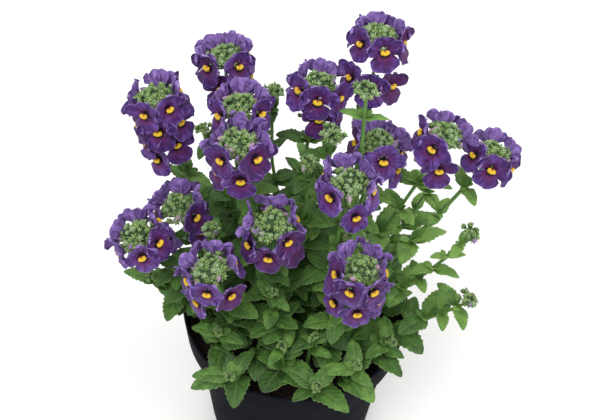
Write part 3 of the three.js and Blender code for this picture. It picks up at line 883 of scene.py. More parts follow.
@dataclass(frozen=True)
class LeafSkin(Finish):
    """Living leaf: a waxy matte upper skin, sunken veins, a pale thin margin and a paler underside."""

    name: str = "nemesia_leaf"
    dark: str = "#243f1b"
    middle: str = "#416929"
    light: str = "#719845"
    vein: str = "#93b062"
    margin: str = "#93ae69"
    underside: str = "#748f57"
    roughness: tuple[float, float] = (0.5, 0.7)

    def dress(self, add: Adder) -> Socket:
        """Colour by age with painted light and shade by the leaf's place, and by cloudiness, then veins and
        margin, with the veins pressed in.

        Args:
            add: Adds one node to the material's tree.

        Returns:
            The output of the shader.
        """
        place = add("TexCoord", out="Object")
        u, v, _ = add("SeparateXYZ", place.node.outputs["UV"]).node.outputs
        across = add("Math MULTIPLY_ADD", u, 2.0, -1.0)
        off_rib = add("Math ABSOLUTE", across)
        tone = add("Attribute", attribute_name="tone", out="Fac")
        side = add("Attribute", attribute_name="side", out="Fac")
        # cloudiness a few millimetres wide, as leaves have between their veins
        cloud = add("TexNoise", Vector=place, Scale=160.0, Detail=4.0, Roughness=0.6)
        blotch = add("MapRange", cloud, 0.3, 0.7, 0.0, 0.5)
        # the tone carries each leaf's age and the painted light and shade of its place
        age = add("Math MULTIPLY_ADD", tone, 0.75, blotch)
        body = add("ValToRGB", age, stops=((0.1, self.dark), (0.55, self.middle), (1.0, self.light)))
        rib = add("MapRange", off_rib, 0.02, 0.1, 1.0, 0.0)
        # side veins leave the midrib forwards, along lines of equal (along - 0.3 x off the rib), bent by
        # the cloudiness, and uneven on the two sides and from leaf to leaf
        right = add("Math GREATER_THAN", across, 0.0)
        slant = v
        for value, share in ((off_rib, -0.3), (cloud, 0.08), (right, 0.05), (tone, 1.0)):
            slant = add("Math MULTIPLY_ADD", value, share, slant)
        comb = add("Math PINGPONG", slant, 0.075)
        side_veins = add("MapRange", comb, 0.0, 0.013, 0.8, 0.0)
        # the net of finest veins, about 1 mm wide
        cells = add("TexVoronoi", Vector=place, Scale=850.0, feature="DISTANCE_TO_EDGE")
        net = add("MapRange", cells, 0.0, 0.09, 0.3, 0.0)
        veins = add("Math MAXIMUM", add("Math MAXIMUM", rib, side_veins), net)
        pale = add("Math MULTIPLY", veins, 0.27)
        veined = add("Mix", pale, body, self.vein, data_type="RGBA")
        edge = add("MapRange", off_rib, 0.9, 1.0, 0.0, 0.4)
        edged = add("Mix", edge, veined, self.margin, data_type="RGBA")
        under = add("Mix", 0.35, self.underside, edged, data_type="RGBA")
        puff = add("MapRange", comb, 0.0, 0.06, 0.0, 1.0, interpolation_type="SMOOTHSTEP")
        raised = add("Math MULTIPLY", puff, add("Math SUBTRACT", 1.0, rib))
        relief = add("Math MULTIPLY_ADD", net, -0.3, raised)
        return add(
            "BsdfPrincipled",
            Base_Color=add("Mix", side, under, edged, data_type="RGBA"),
            Roughness=add("MapRange", cloud, 0.3, 0.7, *self.roughness),
            Normal=add("Bump", Strength=0.3, Distance=0.0005, Height=relief),
            Subsurface_Weight=0.08,
            Subsurface_Radius=(0.001, 0.002, 0.0005),
            Specular_IOR_Level=0.35,
        )


@dataclass(frozen=True)
class StemSkin(Finish):
    """Herbaceous stem: ribbed green skin, a little glossy, redder where it is older."""

    name: str = "green_stem"
    light: str = "#6a9641"
    dark: str = "#3f6a2c"
    flushed: str = "#6b5a3a"

    def dress(self, add: Adder) -> Socket:
        """Streaks along the stem, and a flush from the attribute.

        Args:
            add: Adds one node to the material's tree.

        Returns:
            The output of the shader.
        """
        stretched = add("VectorMath MULTIPLY", add("TexCoord", out="Object"), (900.0, 900.0, 90.0))
        streaks = add("TexNoise", Vector=stretched, Scale=1.0, Detail=3.0)
        body = add("ValToRGB", streaks, stops=((0.3, self.dark), (0.7, self.light)))
        flush = add("Attribute", attribute_name="flush", out="Fac")
        return add(
            "BsdfPrincipled",
            Base_Color=add("Mix", flush, body, self.flushed, data_type="RGBA"),
            Roughness=0.5,
            Normal=add("Bump", Strength=0.4, Distance=0.0003, Height=streaks),
            Subsurface_Weight=0.06,
            Subsurface_Radius=(0.001, 0.002, 0.0005),
        )


@dataclass(frozen=True)
class BudSkin(Finish):
    """Green bud: downy skin, paler at the tips of its sepals, a painted dark shade at its foot, lilac where
    it is about to open.
    """

    name: str = "downy_bud"
    foot: str = "#2b481e"
    middle: str = "#5c8038"
    tip: str = "#9cb26f"
    bluish: str = "#93ac97"
    down: str = "#c3cfae"
    ripe: str = "#7e60a6"
    cream: str = "#b88fa6"

    def dress(self, add: Adder) -> Socket:
        """Colour along the bud, from a painted dark shade at its foot to paler tips, down as fine pale
        speckle, and ripeness from the attribute.

        Args:
            add: Adds one node to the material's tree.

        Returns:
            The output of the shader.
        """
        place = add("TexCoord", out="Object")
        v = add("SeparateXYZ", place.node.outputs["UV"], out="Y")
        tone = add("Attribute", attribute_name="tone", out="Fac")
        flush = add("Attribute", attribute_name="flush", out="Fac")
        # darkest at the foot, a painted shade among the buds, and paler towards the sepals' tips
        mottled = add("Math MULTIPLY_ADD", add("Math SUBTRACT", tone, 0.5), 0.35, v)
        body = add("ValToRGB", mottled, stops=((0.15, self.foot), (0.55, self.middle), (0.95, self.tip)))
        # some buds have a bluish bloom
        bloom = add("Math MULTIPLY", add("MapRange", tone, 0.5, 0.9, 0.0, 0.45), v)
        dulled = add("Mix", bloom, body, self.bluish, data_type="RGBA")
        # the down, glandular hairs about a quarter of a millimetre apart
        down = add("TexNoise", Vector=place, Scale=2600.0, Detail=2.0)
        speck = add("MapRange", down, 0.55, 0.7, 0.0, 0.22)
        downy = add("Mix", speck, dulled, self.down, data_type="RGBA")
        ripe = add("Mix", tone, self.ripe, self.cream, data_type="RGBA")
        return add(
            "BsdfPrincipled",
            Base_Color=add("Mix", flush, downy, ripe, data_type="RGBA"),
            Roughness=0.65,
            Normal=add("Bump", Strength=0.5, Distance=0.0003, Height=down),
            Sheen_Weight=0.12,
            Specular_IOR_Level=0.35,
            Subsurface_Weight=0.05,
            Subsurface_Radius=(0.001, 0.001, 0.0005),
        )


@dataclass(frozen=True)
class PetalSkin(Finish):
    """Petal: velvety violet, dark veins that fan out, maroon in the throat with a painted near-black shade
    deepest in it, pale crimped edge that is partly a painted highlight, and back.
    """

    name: str = "violet_petal"
    deep: str = "#2d1245"
    violet: str = "#4a2671"
    light: str = "#7050a3"
    edge: str = "#a188c6"
    back: str = "#9a7cc4"
    pleat: str = "#57367c"
    faded: str = "#59235f"
    maroon: str = "#5a1152"
    throat: str = "#17051a"
    nap: str = "#b79be0"

    def dress(self, add: Adder) -> Socket:
        """Violet by flower, veins and crimps along the petal, then the throat's maroon and painted shade,
        the edge with its painted highlight, and the back.

        Args:
            add: Adds one node to the material's tree.

        Returns:
            The output of the shader.
        """
        place = add("TexCoord", out="Object")
        uv = place.node.outputs["UV"]
        u, v, _ = add("SeparateXYZ", uv).node.outputs
        tone = add("Attribute", attribute_name="tone", out="Fac")
        side = add("Attribute", attribute_name="side", out="Fac")
        cloud = add("TexNoise", Vector=place, Scale=330.0, Detail=4.0, Roughness=0.6)
        blotch = add("MapRange", cloud, 0.34, 0.66, 0.0, 0.55)
        shade = add("Math MULTIPLY_ADD", tone, 0.45, blotch)
        plain = add("ValToRGB", shade, stops=((0.15, self.deep), (0.45, self.violet), (0.9, self.light)))
        # older flowers turn redder
        age = add("MapRange", tone, 0.0, 0.4, 0.6, 0.0)
        body = add("Mix", age, plain, self.faded, data_type="RGBA")
        # the veins, from a noise drawn out along the petal, in another part of it for each flower
        fan = add("VectorMath MULTIPLY", uv, (9.0, 1.1, 1.0))
        moved = add("VectorMath MULTIPLY_ADD", tone, (37.0, 19.0, 53.0), fan)
        fibres = add("TexNoise", Vector=moved, Scale=1.2, Detail=4.0, Distortion=0.5)
        vein = add("MapRange", fibres, 0.36, 0.52, 0.8, 0.0)
        veined = add("Mix", vein, body, self.deep, data_type="RGBA")
        # paler towards the end and, more narrowly, the sides, in patches: partly the petal's own paler
        # margin, partly a painted velvet highlight
        end = add("MapRange", add("Math MULTIPLY_ADD", fibres, 0.12, v), 0.84, 1.06, 0.0, 0.9)
        across = add("Math ABSOLUTE", add("Math SUBTRACT", u, 0.5))
        flank = add("MapRange", across, 0.44, 0.5, 0.0, 0.8)
        pale = add("Math MAXIMUM", end, add("Math MULTIPLY", flank, v))
        patchy = add("Math MULTIPLY", pale, add("MapRange", cloud, 0.4, 0.6, 0.15, 1.0))
        edged = add("Mix", patchy, veined, self.edge, data_type="RGBA")
        flush = add("Attribute", attribute_name="flush", out="Fac")
        flush = add("Math MULTIPLY_ADD", add("Math SUBTRACT", fibres, 0.5), 0.35, flush)
        maroon = add("MapRange", flush, 0.08, 0.6, 0.0, 0.9)
        flushed = add("Mix", maroon, edged, self.maroon, data_type="RGBA")
        # painted shade: near black deep in the throat, inside the pouch and round the palate
        dark = add("MapRange", flush, 0.7, 0.95, 0.0, 1.0)
        front = add("Mix", dark, flushed, self.throat, data_type="RGBA")
        # the back: mottled, darker along the veins, and pale at the edge, partly a painted highlight as on
        # the front
        behind = self.back
        for value, share, colour in (
            (blotch, 1.5, self.violet), (vein, 0.45, self.pleat), (pale, 0.8, self.edge)
        ):
            behind = add("Mix", add("Math MULTIPLY", value, share), behind, colour, data_type="RGBA")
        crumple = add("Math MULTIPLY_ADD", cloud, 2.5, fibres)
        return add(
            "BsdfPrincipled",
            Base_Color=add("Mix", side, behind, front, data_type="RGBA"),
            Roughness=0.62,
            Normal=add("Bump", Strength=0.7, Distance=0.0006, Height=crumple),
            Specular_IOR_Level=0.3,
            Sheen_Weight=0.1,
            Sheen_Tint=self.nap,
            Subsurface_Weight=0.1,
            Subsurface_Radius=(0.001, 0.0004, 0.0015),
        )


@dataclass(frozen=True)
class PalateSkin(Finish):
    """Palate: two yellow humps with a nap of short hairs, orange where they meet the throat, with a painted
    dark brown shade in the cleft and round the foot.
    """

    name: str = "yellow_palate"
    yellow: str = "#dab41e"
    orange: str = "#b87a10"
    foot: str = "#6e2f12"

    def dress(self, add: Adder) -> Socket:
        """Yellow over orange over a painted dark brown shade, by the cushion's height, finely pimpled.

        Args:
            add: Adds one node to the material's tree.

        Returns:
            The output of the shader.
        """
        nap = add("TexNoise", Vector=add("TexCoord", out="Object"), Scale=2400.0, Detail=2.0)
        flush = add("Attribute", attribute_name="flush", out="Fac")
        # colour by the cushion's height: yellow on the humps, orange lower, and a painted dark brown shade
        # in the cleft and round the foot
        height = add("Math MULTIPLY_ADD", nap, 0.2, flush)
        stops = ((0.3, self.foot), (0.5, self.orange), (0.78, self.yellow))
        return add(
            "BsdfPrincipled",
            Base_Color=add("ValToRGB", height, stops=stops),
            Roughness=0.6,
            Normal=add("Bump", Strength=0.5, Distance=0.0003, Height=nap),
            Subsurface_Weight=0.1,
            Subsurface_Radius=(0.001, 0.0007, 0.0002),
        )


@dataclass(frozen=True)
class PotPlastic(Finish):
    """Thermoformed polypropylene, charcoal: soft satin sheen, faint flow lines, dust, compost smudges."""

    name: str = "black_polypropylene"
    charcoal: str = "#17181d"
    dust: str = "#202125"
    smudge: str = "#2a1c12"

    def dress(self, add: Adder) -> Socket:
        """Charcoal with dust, smudged where the compost meets the wall.

        Args:
            add: Adds one node to the material's tree.

        Returns:
            The output of the shader.
        """
        place = add("TexCoord", out="Object")
        z = add("SeparateXYZ", place, out="Z")
        lines = add("VectorMath MULTIPLY", place, (60.0, 60.0, 900.0))
        flow = add("TexNoise", Vector=lines, Scale=1.0, Detail=3.0)
        grime = add("TexNoise", Vector=place, Scale=70.0, Detail=6.0, Roughness=0.7)
        film = add("MapRange", grime, 0.5, 0.8, 0.0, 0.35)
        dusty = add("Mix", film, self.charcoal, self.dust, data_type="RGBA")
        # compost splashes reach a few millimetres over its top, and only show inside
        height = add("Math MULTIPLY_ADD", grime, 0.008, z)
        low = add("MapRange", height, 0.106, 0.111, 0.8, 0.0)
        radius = add("VectorMath LENGTH", add("VectorMath MULTIPLY", place, (1.0, 1.0, 0.0)))
        inside = add("MapRange", radius, 0.0635, 0.0636, 1.0, 0.0)
        above = add("Math GREATER_THAN", z, 0.0955)
        smeared = add("Math MULTIPLY", add("Math MULTIPLY", low, inside), above)
        return add(
            "BsdfPrincipled",
            Base_Color=add("Mix", smeared, dusty, self.smudge, data_type="RGBA"),
            Roughness=add("MapRange", grime, 0.3, 0.8, 0.5, 0.7),
            Normal=add("Bump", Strength=0.25, Distance=0.0002, Height=flow),
            IOR=1.25,
            Specular_IOR_Level=0.02,
        )


@dataclass(frozen=True)
class PeatSkin(Finish):
    """Peat compost: moist dark fibres with browner crumbs, quite matte."""

    name: str = "peat_compost"
    dark: str = "#080504"
    brown: str = "#1b110a"
    crumb: str = "#50341f"

    def dress(self, add: Adder) -> Socket:
        """Crumbs from coarse and fine noise, browner by the attribute.

        Args:
            add: Adds one node to the material's tree.

        Returns:
            The output of the shader.
        """
        place = add("TexCoord", out="Object")
        crumb = add("TexNoise", Vector=place, Scale=420.0, Detail=8.0, Roughness=0.75)
        tone = add("Attribute", attribute_name="tone", out="Fac")
        mixed = add("Math MULTIPLY_ADD", tone, 0.25, crumb)
        stops = ((0.42, self.dark), (0.62, self.brown), (0.8, self.crumb))
        return add(
            "BsdfPrincipled",
            Base_Color=add("ValToRGB", mixed, stops=stops),
            Roughness=0.95,
            Normal=add("Bump", Strength=1.0, Distance=0.001, Height=crumb),
        )


@dataclass(frozen=True)
class StudioFloor(Finish):
    """White paper sweep."""

    name: str = "white_sweep"

    def dress(self, add: Adder) -> Socket:
        """Plain white."""
        return add("BsdfPrincipled", Base_Color="#f7f7f5", Roughness=0.9)


class Skin(IntEnum):
    """The finishes of a shoot and its flowers, by their slot in the mesh."""

    LEAF = 0
    STEM = 1
    BUD = 2
    PETAL = 3
    PALATE = 4


class Wardrobe:
    """Every material of the plant, made once."""

    def __init__(self) -> None:
        """Make the materials."""
        self.plant = [kind().make() for kind in (LeafSkin, StemSkin, BudSkin, PetalSkin, PalateSkin)]
        self.plastic, self.peat, self.floor = (kind().make() for kind in (PotPlastic, PeatSkin, StudioFloor))


# Sub-assemblies


@dataclass
class Pot:
    """The nursery pot: foot, tapered wall, step, collar and rolled rim, with drain holes."""

    segments: int = 144
    lip: float = 0.8
    # the underside is flat within the first, and stands the second above the ring that the pot rests on
    flat_radius: float = 20.0
    hollow: float = 0.6
    cutter_depth: float = 6.0
    # degrees between two faces from which the edge between them is sharp
    crease: float = 40.0

    def profile(self) -> Array:
        """The wall's section, from the middle of the underside round the rim to the middle of the floor.

        Returns:
            Radius and height, count x 2.
        """
        foot, body, collar, rim, lip = FOOT_RADIUS, BODY_RADIUS, COLLAR_FOOT_RADIUS, RIM_RADIUS, self.lip
        flat, hollow = self.flat_radius, self.hollow
        step = POT_HEIGHT - COLLAR_HEIGHT
        halfway = (lerp(collar, rim, 0.5), step + 0.5 * COLLAR_HEIGHT)
        turn = np.linspace(0, math.pi, 9)
        roll = np.stack([rim - lip + lip * np.cos(turn), POT_HEIGHT - lip + lip * np.sin(turn)], axis=-1)
        outer = [
            (POLE_RADIUS, hollow), (flat, hollow), (foot - 4.0, hollow), (foot - 3.0, 0.0),
            (foot - 1.0, 0.0), (foot - 0.3, 0.3), (foot, 1.0), (lerp(foot, body, 0.35), 0.35 * step),
            (lerp(foot, body, 0.7), 0.7 * step), (body - 0.05, step - 0.9), (body + 0.3, step - 0.25),
            (body + 0.9, step), (collar - 0.6, step), (collar - 0.15, step + 0.2), (collar, step + 0.7),
            halfway, (rim - 0.2, POT_HEIGHT - 3.0),
        ]
        inner = np.array([
            halfway, (collar, step + WALL + 0.6), (collar - 0.6, step + WALL),
            (body + 0.5, step + WALL), (body, step + WALL - 0.6), (lerp(foot, body, 0.5), 0.5 * step),
            (foot, WALL + 0.8), (foot - 0.8, WALL),
        ]) - [WALL, 0]
        return np.vstack([outer, roll, inner, (flat, WALL), (POLE_RADIUS, WALL)])

    def build(self, plastic: bpy.types.Material) -> bpy.types.Object:
        """Turn the profile about +Z and cut the drain holes through its floor.

        Args:
            plastic: The pot's material.

        Returns:
            The pot.
        """
        wall = lathe([(height, 0, radius, 0) for radius, height in self.profile()], self.segments)
        centre = lathe([(0, 0, DRAIN_CIRCLE, 0)], DRAIN_HOLES)[0]
        path = centre[:, None] + UP * np.array([[-1.0], [1.0]]) * self.cutter_depth
        drains = rods(path, DRAIN_RADIUS, ring_section(32), np.array([1.0, 0, 0]))
        shell, cutter = (
            stand(name, new_mesh(name, patch.points * METRES, patch.faces))
            for name, patch in (("pot_shell", tubes(wall[None])), ("drain_cutters", drains))
        )
        holes = shell.modifiers.new("drains", "BOOLEAN")
        holes.operation = "DIFFERENCE"
        holes.object = cutter
        evaluated = shell.evaluated_get(bpy.context.evaluated_depsgraph_get())
        cut = bpy.data.meshes.new_from_object(evaluated)
        bpy.data.objects.remove(shell)
        bpy.data.objects.remove(cutter)
        cut.name = "nursery_pot"
        cut.materials.clear()
        cut.materials.append(plastic)
        cut.shade_smooth()
        cut.set_sharp_from_angle(angle=math.radians(self.crease))
        return place_piece(cut, "nursery_pot", "pot")


@dataclass
class Compost:
    """The fill: a crumbly top and smooth sides inside the pot, with loose crumbs and fibres on top."""

    segments: int = 150
    rings: int = 48
    relief: float = 1.3
    # crumbs: how many, the largest half length, and the radius along one as shares of its half length
    crumbs: int = 560
    crumb_size: float = 1.7
    crumb_girth: tuple[float, ...] = (0.4, 0.95, 0.85, 0.35)
    # fibres: how many, the span of their half lengths, and the radius along one
    fibres: int = 160
    fibre_reach: tuple[float, float] = (1.5, 4.5)
    fibre_girth: tuple[float, ...] = (0.12, 0.22, 0.2, 0.1)

    def heights(self, x: Array, y: Array, rng: Random) -> Array:
        """The top's height: a sum of sine waves of random bearing, each octave shorter and lower.

        Args:
            x: Places from left to right.
            y: Places from front to back.
            rng: Source of the waves' bearings and phases.

        Returns:
            Heights, none of them over the CAD's top.
        """
        height = np.zeros_like(x)
        for octave in range(5):
            for _ in range(6):
                bearing, phase = rng.uniform(0, TURN, 2)
                pitch = 26.0 / 1.9**octave
                wave = (x * math.cos(bearing) + y * math.sin(bearing)) * TURN / pitch + phase
                height += np.sin(wave) * 0.62**octave
        return COMPOST_TOP - self.relief + self.relief * np.clip(height / 6, -1, 1)

    def scatter(self, count: int, radius: float, depth: float, rng: Random) -> Array:
        """Places spread evenly over a disc.

        Args:
            count: How many.
            radius: Of the disc.
            depth: How far it lies under the CAD's top.
            rng: Source of the places.

        Returns:
            Points, count x 3.
        """
        spot = np.sqrt(rng.uniform(0, 1, count)) * radius
        turn = rng.uniform(0, TURN, count)
        x, y = spot * np.cos(turn), spot * np.sin(turn)
        return np.stack([x, y, np.full(count, COMPOST_TOP - depth)], axis=-1)

    def build(self, peat: bpy.types.Material) -> bpy.types.Object:
        """Lay the sides, the top, the crumbs and the fibres.

        Args:
            peat: The compost's material.

        Returns:
            The compost.
        """
        rng = np.random.default_rng(SEED)
        heap = Heap()
        inset = WALL + SEAT_GAP
        foot, body, top = FOOT_RADIUS - inset, BODY_RADIUS - inset, COLLAR_FOOT_RADIUS - inset
        step = POT_HEIGHT - COLLAR_HEIGHT
        sides = [
            (POLE_RADIUS, inset), (foot - 1, inset), (foot, inset + 1), (body, step - 1),
            (body, step + inset), (top - 0.8, step + inset), (top, step + 2.6),
        ]
        surface = [(radius, COMPOST_TOP) for radius in np.linspace(top, POLE_RADIUS, self.rings)]
        fill = lathe([(height, 0, radius, 0) for radius, height in sides + surface], self.segments)
        x, y, height = fill[len(sides):].T
        height[:] = self.heights(x, y, rng)
        heap.add(0, tubes(fill[None], 0.3))
        count = self.crumbs
        centre = self.scatter(count, top - 2.5, 0.9, rng)
        size = rng.uniform(0.5, 1.0, (count, 1)) ** 2 * self.crumb_size
        direction = unit(rng.normal(size=(count, 3)))
        path = centre[:, None] + direction[:, None] * np.linspace(-0.8, 0.8, 4)[:, None] * size[..., None]
        plump = size * self.crumb_girth * rng.uniform(0.7, 1.1, (count, 4))
        lead = unit(rng.normal(size=(count, 3)))
        heap.add(0, rods(path, plump, ring_section(6, 0.25, 3), lead, rng.uniform(0, 1, count)))
        count = self.fibres
        centre = self.scatter(count, top - 6, 0.2, rng)
        lie = unit(rng.normal(size=(count, 3)) * [1, 1, 0.12]) * rng.uniform(*self.fibre_reach, (count, 1))
        path = centre[:, None] + lie[:, None] * np.linspace(-1, 1, 4)[:, None]
        lead = UP + [0.01, 0, 0]
        heap.add(0, rods(path, self.fibre_girth, ring_section(4), lead, rng.uniform(0.6, 1.6, count)))
        return heap.make("peat_fill", [peat], "compost", "compost")


@dataclass
class Blades:
    """Leaf blades: a rule that turns leaf places into toothed, quilted, closed sheets."""

    # how far along the midrib, and half width as a share of the widest: each tooth is a tip and a notch
    outline: tuple[tuple[float, float], ...] = (
        (0.0, 0.26), (0.05, 0.4), (0.12, 0.7), (0.2, 0.9), (0.29, 1.05), (0.33, 0.92), (0.42, 1.04),
        (0.46, 0.88), (0.55, 0.97), (0.59, 0.79), (0.67, 0.84), (0.71, 0.66), (0.79, 0.66), (0.83, 0.5),
        (0.9, 0.41), (0.955, 0.25), (0.99, 0.1), (1.0, 0.015),
    )
    columns: tuple[float, ...] = (-1, -0.74, -0.45, -0.2, 0, 0.2, 0.45, 0.74, 1)
    fold: float = 0.3
    quilt: float = 0.07
    wave: float = 0.1
    thickness: tuple[float, float] = (0.55, 0.2)

    def patch(self, places: Sequence[LeafPlace], rng: Random, tone: Array) -> Patch:
        """The blades of all places.

        Height over the plain blade, as a share of its half width: fold x (|a| - a^2), less a groove at
        the midrib, plus a wave along the edge. a goes from -1 to 1 across.

        Args:
            places: Where the leaves are.
            rng: Source of the small differences between leaves.
            tone: A number for each leaf, from dark to light, by its age and by the painted light and shade
                of its place.

        Returns:
            The patch.
        """
        each = (len(places), 1, 1)
        share, width = np.array(self.outline).T[:, :, None]
        a = np.array(self.columns, float)
        across = np.abs(a)
        start, side, root = (v[:, None] for v in gather(places, "start", "side", "root"))
        length, half = (v.reshape(each) for v in gather(places, "length", "half_width"))
        rib = root + start * length * share - UP * LEAF_DROOP * length * share**2
        ahead = unit(start - UP * 2 * LEAF_DROOP * share)
        twist = rng.uniform(-0.35, 0.35, each) * share
        normal = unit(np.cross(np.broadcast_to(side, ahead.shape), ahead))
        level = side * np.cos(twist) + normal * np.sin(twist)
        raised = normal * np.cos(twist) - side * np.sin(twist)
        phase = rng.uniform(0, TURN, each) + (a > 0) * 1.7
        ripple = np.sin(TURN * 2.3 * share + phase) * across**3 * self.wave
        fold = self.fold * rng.uniform(0.5, 1.3, each)
        height = fold * (across - across**2) - self.quilt * np.exp(-((across / 0.1) ** 2)) + ripple
        wide = (half * width)[..., None]
        shift = level[:, :, None] * a[:, None] + raised[:, :, None] * height[..., None]
        thick = lerp(*self.thickness, across) * np.minimum(1, half / 5)
        patch = sheets(rib[:, :, None] + shift * wide, thick, tone)
        patch.uv = chart((a + 1) / 2, share, (len(places), 2, len(share), len(a)))
        return patch


SMALL_BLADES = Blades(
    outline=((0.0, 0.26), (0.1, 0.62), (0.24, 0.95), (0.4, 1.04), (0.45, 0.94), (0.6, 0.92), (0.65, 0.78),
             (0.8, 0.62), (0.92, 0.34), (0.98, 0.14), (1.0, 0.02)),
    columns=(-1, -0.5, 0, 0.5, 1),
    wave=0.06,
)


@dataclass
class Buds:
    """Downy buds: each a cup of five sepals round a small ball, longer and lilac when it is ripe."""

    # the sepals' cup as the rows of a lathe, and how pale each ring is: palest at the sepals' tips, with
    # painted shade at the foot and down inside the cup
    cup: tuple[tuple[float, float, float, float], ...] = (
        (-0.9, 0, 0.35, 0), (-0.4, 0, 0.7, 0.06), (0.1, 0.1, 0.76, 0.28), (0.45, 0.28, 0.66, 0.46),
        (0.6, 0.4, 0.6, 0.5), (0.58, 0.28, 0.54, 0.34), (0.35, 0, 0.4, 0))
    paleness: tuple[float, ...] = (0.0, 0.1, 0.4, 0.75, 1.0, 0.7, 0.3)
    heart: tuple[tuple[float, float, float, float], ...] = (
        (0.2, 0, 0.52, 0), (0.6, 0, 0.6, 0), (0.95, 0, 0.46, 0), (1.15, 0, 0.14, 0))
    ripe_size: float = 1.4
    leaflet: tuple[tuple[float, float], ...] = ((0.0, 0.2), (0.35, 0.36), (0.7, 0.26), (1.0, 0.03))
    around: int = 6
    hairs_each: int = 4
    bloom: float = 1.0

    def patches(self, place: Array, direction: Array, size: Array, ripe: Array, rng: Random) -> list[Patch]:
        """The cups, the balls in them, their hairs and the leaflets beside them.

        Args:
            place: Middle of each bud.
            direction: Where each points.
            size: Radius of each.
            ripe: True for a lilac bud that is about to open.
            rng: Source of the small differences between buds.

        Returns:
            Four patches.
        """
        count = len(place)
        side = unit(np.cross(direction, rng.normal(size=(count, 3))))
        basis = np.stack([side, np.cross(direction, side), direction], axis=1)
        tone = rng.uniform(0, self.bloom, count)
        star = lathe(self.cup, 10)
        cups = tubes(into_place(star, place, basis, size), tone)
        cups.uv[:, 1] = spread(np.array(self.paleness)[:, None], (count, *star.shape[:2]))
        ball = lathe(self.heart, self.around)
        # a ripe bud is pinched from two sides and nods: its rings move over by the square of their height
        folded = ball * [0.72, 1.1, 1.0] + np.array([0.0, 0.5, 0.0]) * ball[..., 2:] ** 2
        ball = np.where(ripe[:, None, None, None], folded, ball)
        tint = (ripe * rng.uniform(0.6, 1.0, count))[:, None]
        grown = size * np.where(ripe, self.ripe_size, 1.0)
        hearts = tubes(into_place(ball, place, basis, grown), tone, 1.0, tint)
        lift = unit(rng.normal(size=(count, self.hairs_each, 3)) + direction[:, None] * 0.9)
        foot = place[:, None] + (lift * 0.9 + direction[:, None] * 0.2) * size[:, None, None]
        length = rng.uniform(0.35, 0.7, count * self.hairs_each)
        hairs = needles(foot.reshape(-1, 3), lift.reshape(-1, 3), length, 1.0)
        # a leaflet beside each bud, bent over outwards
        v, half = np.array(self.leaflet).T[:, :, None]
        a = np.array([-1.0, 0.0, 1.0])
        y = 0.75 + 0.75 * v**2
        z = -0.5 + 1.55 * v - 0.25 * v**2 + 0.12 * np.abs(a)
        local = np.stack(np.broadcast_arrays(half * a, y, z), axis=-1)
        size = size * rng.uniform(0.9, 1.3, count)
        leaflets = sheets(into_place(local, place, basis, size), 0.14, tone)
        leaflets.uv[:, 1] = 0.3 + 0.7 * leaflets.uv[:, 1]
        return [cups, hearts, hairs, leaflets]


@dataclass
class BudCluster:
    """A dome of buds round a stem's tip, packed by the golden angle, smallest in the middle."""

    radius: float
    ripe_share: float
    flatness: float
    bloom: float
    loose: float
    underside: float = 0.25

    def core(self, stem: StemLine) -> Patch:
        """The crowded stalks and youngest buds under the dome, as one flattened ball along the axis.

        Its girth is the square root of 1 - s^2, where s goes from -1 at its foot to 1 at its top.

        Args:
            stem: The stem whose tip it sits on.

        Returns:
            The patch.
        """
        steps = np.linspace(-1, 1, 9)
        radius = self.radius * lerp(0.76, 0.5, self.loose)
        girth = np.sqrt(np.clip(1 - steps**2, 0.01, 1)) * radius
        height = np.where(steps > 0, self.flatness, self.underside) * steps * radius
        path = stem.tip + stem.axis * height[:, None]
        ball = rods(path[None], girth[None], ring_section(14, 0.12, 7), outward(stem.turn, stem.axis), 0.0)
        # the core takes the buds' darkest foot colour: painted shade in the gaps between the buds
        ball.uv[:, 1] = 0.0
        return ball

    def patches(self, stem: StemLine, rng: Random) -> list[Patch]:
        """The buds of the dome.

        Bud i of n has the share s = (i + 0.5) / n. The cosine of its angle from the stem's axis is
        1 - 1.3 x s^1.1, and it stands a golden angle further round than the bud before it.

        Args:
            stem: The stem whose tip they sit round.
            rng: Source of the small differences between buds.

        Returns:
            The patches of their parts.
        """
        radius, loose = self.radius, self.loose
        least, dense = (9, lerp(0.28, 0.22, loose)) if radius > 4 else (5, 0.7)
        count = int(round(least + dense * radius**2))
        share = (np.arange(count) + 0.5) / count
        polar = np.arccos(1 - 1.3 * share**1.1) + rng.normal(0, 0.06, count)
        turn = np.arange(count) * GOLDEN_TURN + rng.uniform(0, 6.28)
        first = outward(stem.turn, stem.axis)
        radial = np.stack([np.cos(turn), np.sin(turn)], axis=-1) @ [first, np.cross(stem.axis, first)]
        size = radius * np.sqrt(1.25 / count) * lerp(0.8, 1.12, share) * rng.uniform(0.7, 1.2, count)
        oval = 1 + lerp(0.1, 0.16, loose) * np.sin(2 * turn + rng.uniform(0, 6.28))
        depth = rng.uniform(lerp(0.84, 0.62, loose), 1.02 + 0.14 * loose, count)
        shell = (radius * oval * depth - size * 0.75)[:, None]
        across = radial * np.sin(polar)[:, None]
        rise = (np.cos(polar) * np.where(np.cos(polar) > 0, self.flatness, self.underside))[:, None]
        place = stem.tip + (across + stem.axis * rise) * shell
        direction = unit(across + stem.axis * (rise + 0.3))
        direction = unit(direction + rng.normal(0, lerp(0.16, 0.3, loose), (count, 3)))
        ripe = (rng.uniform(0, 1, count) < self.ripe_share) & (share > 0.6)
        return Buds(bloom=self.bloom).patches(place, direction, size, ripe, rng)


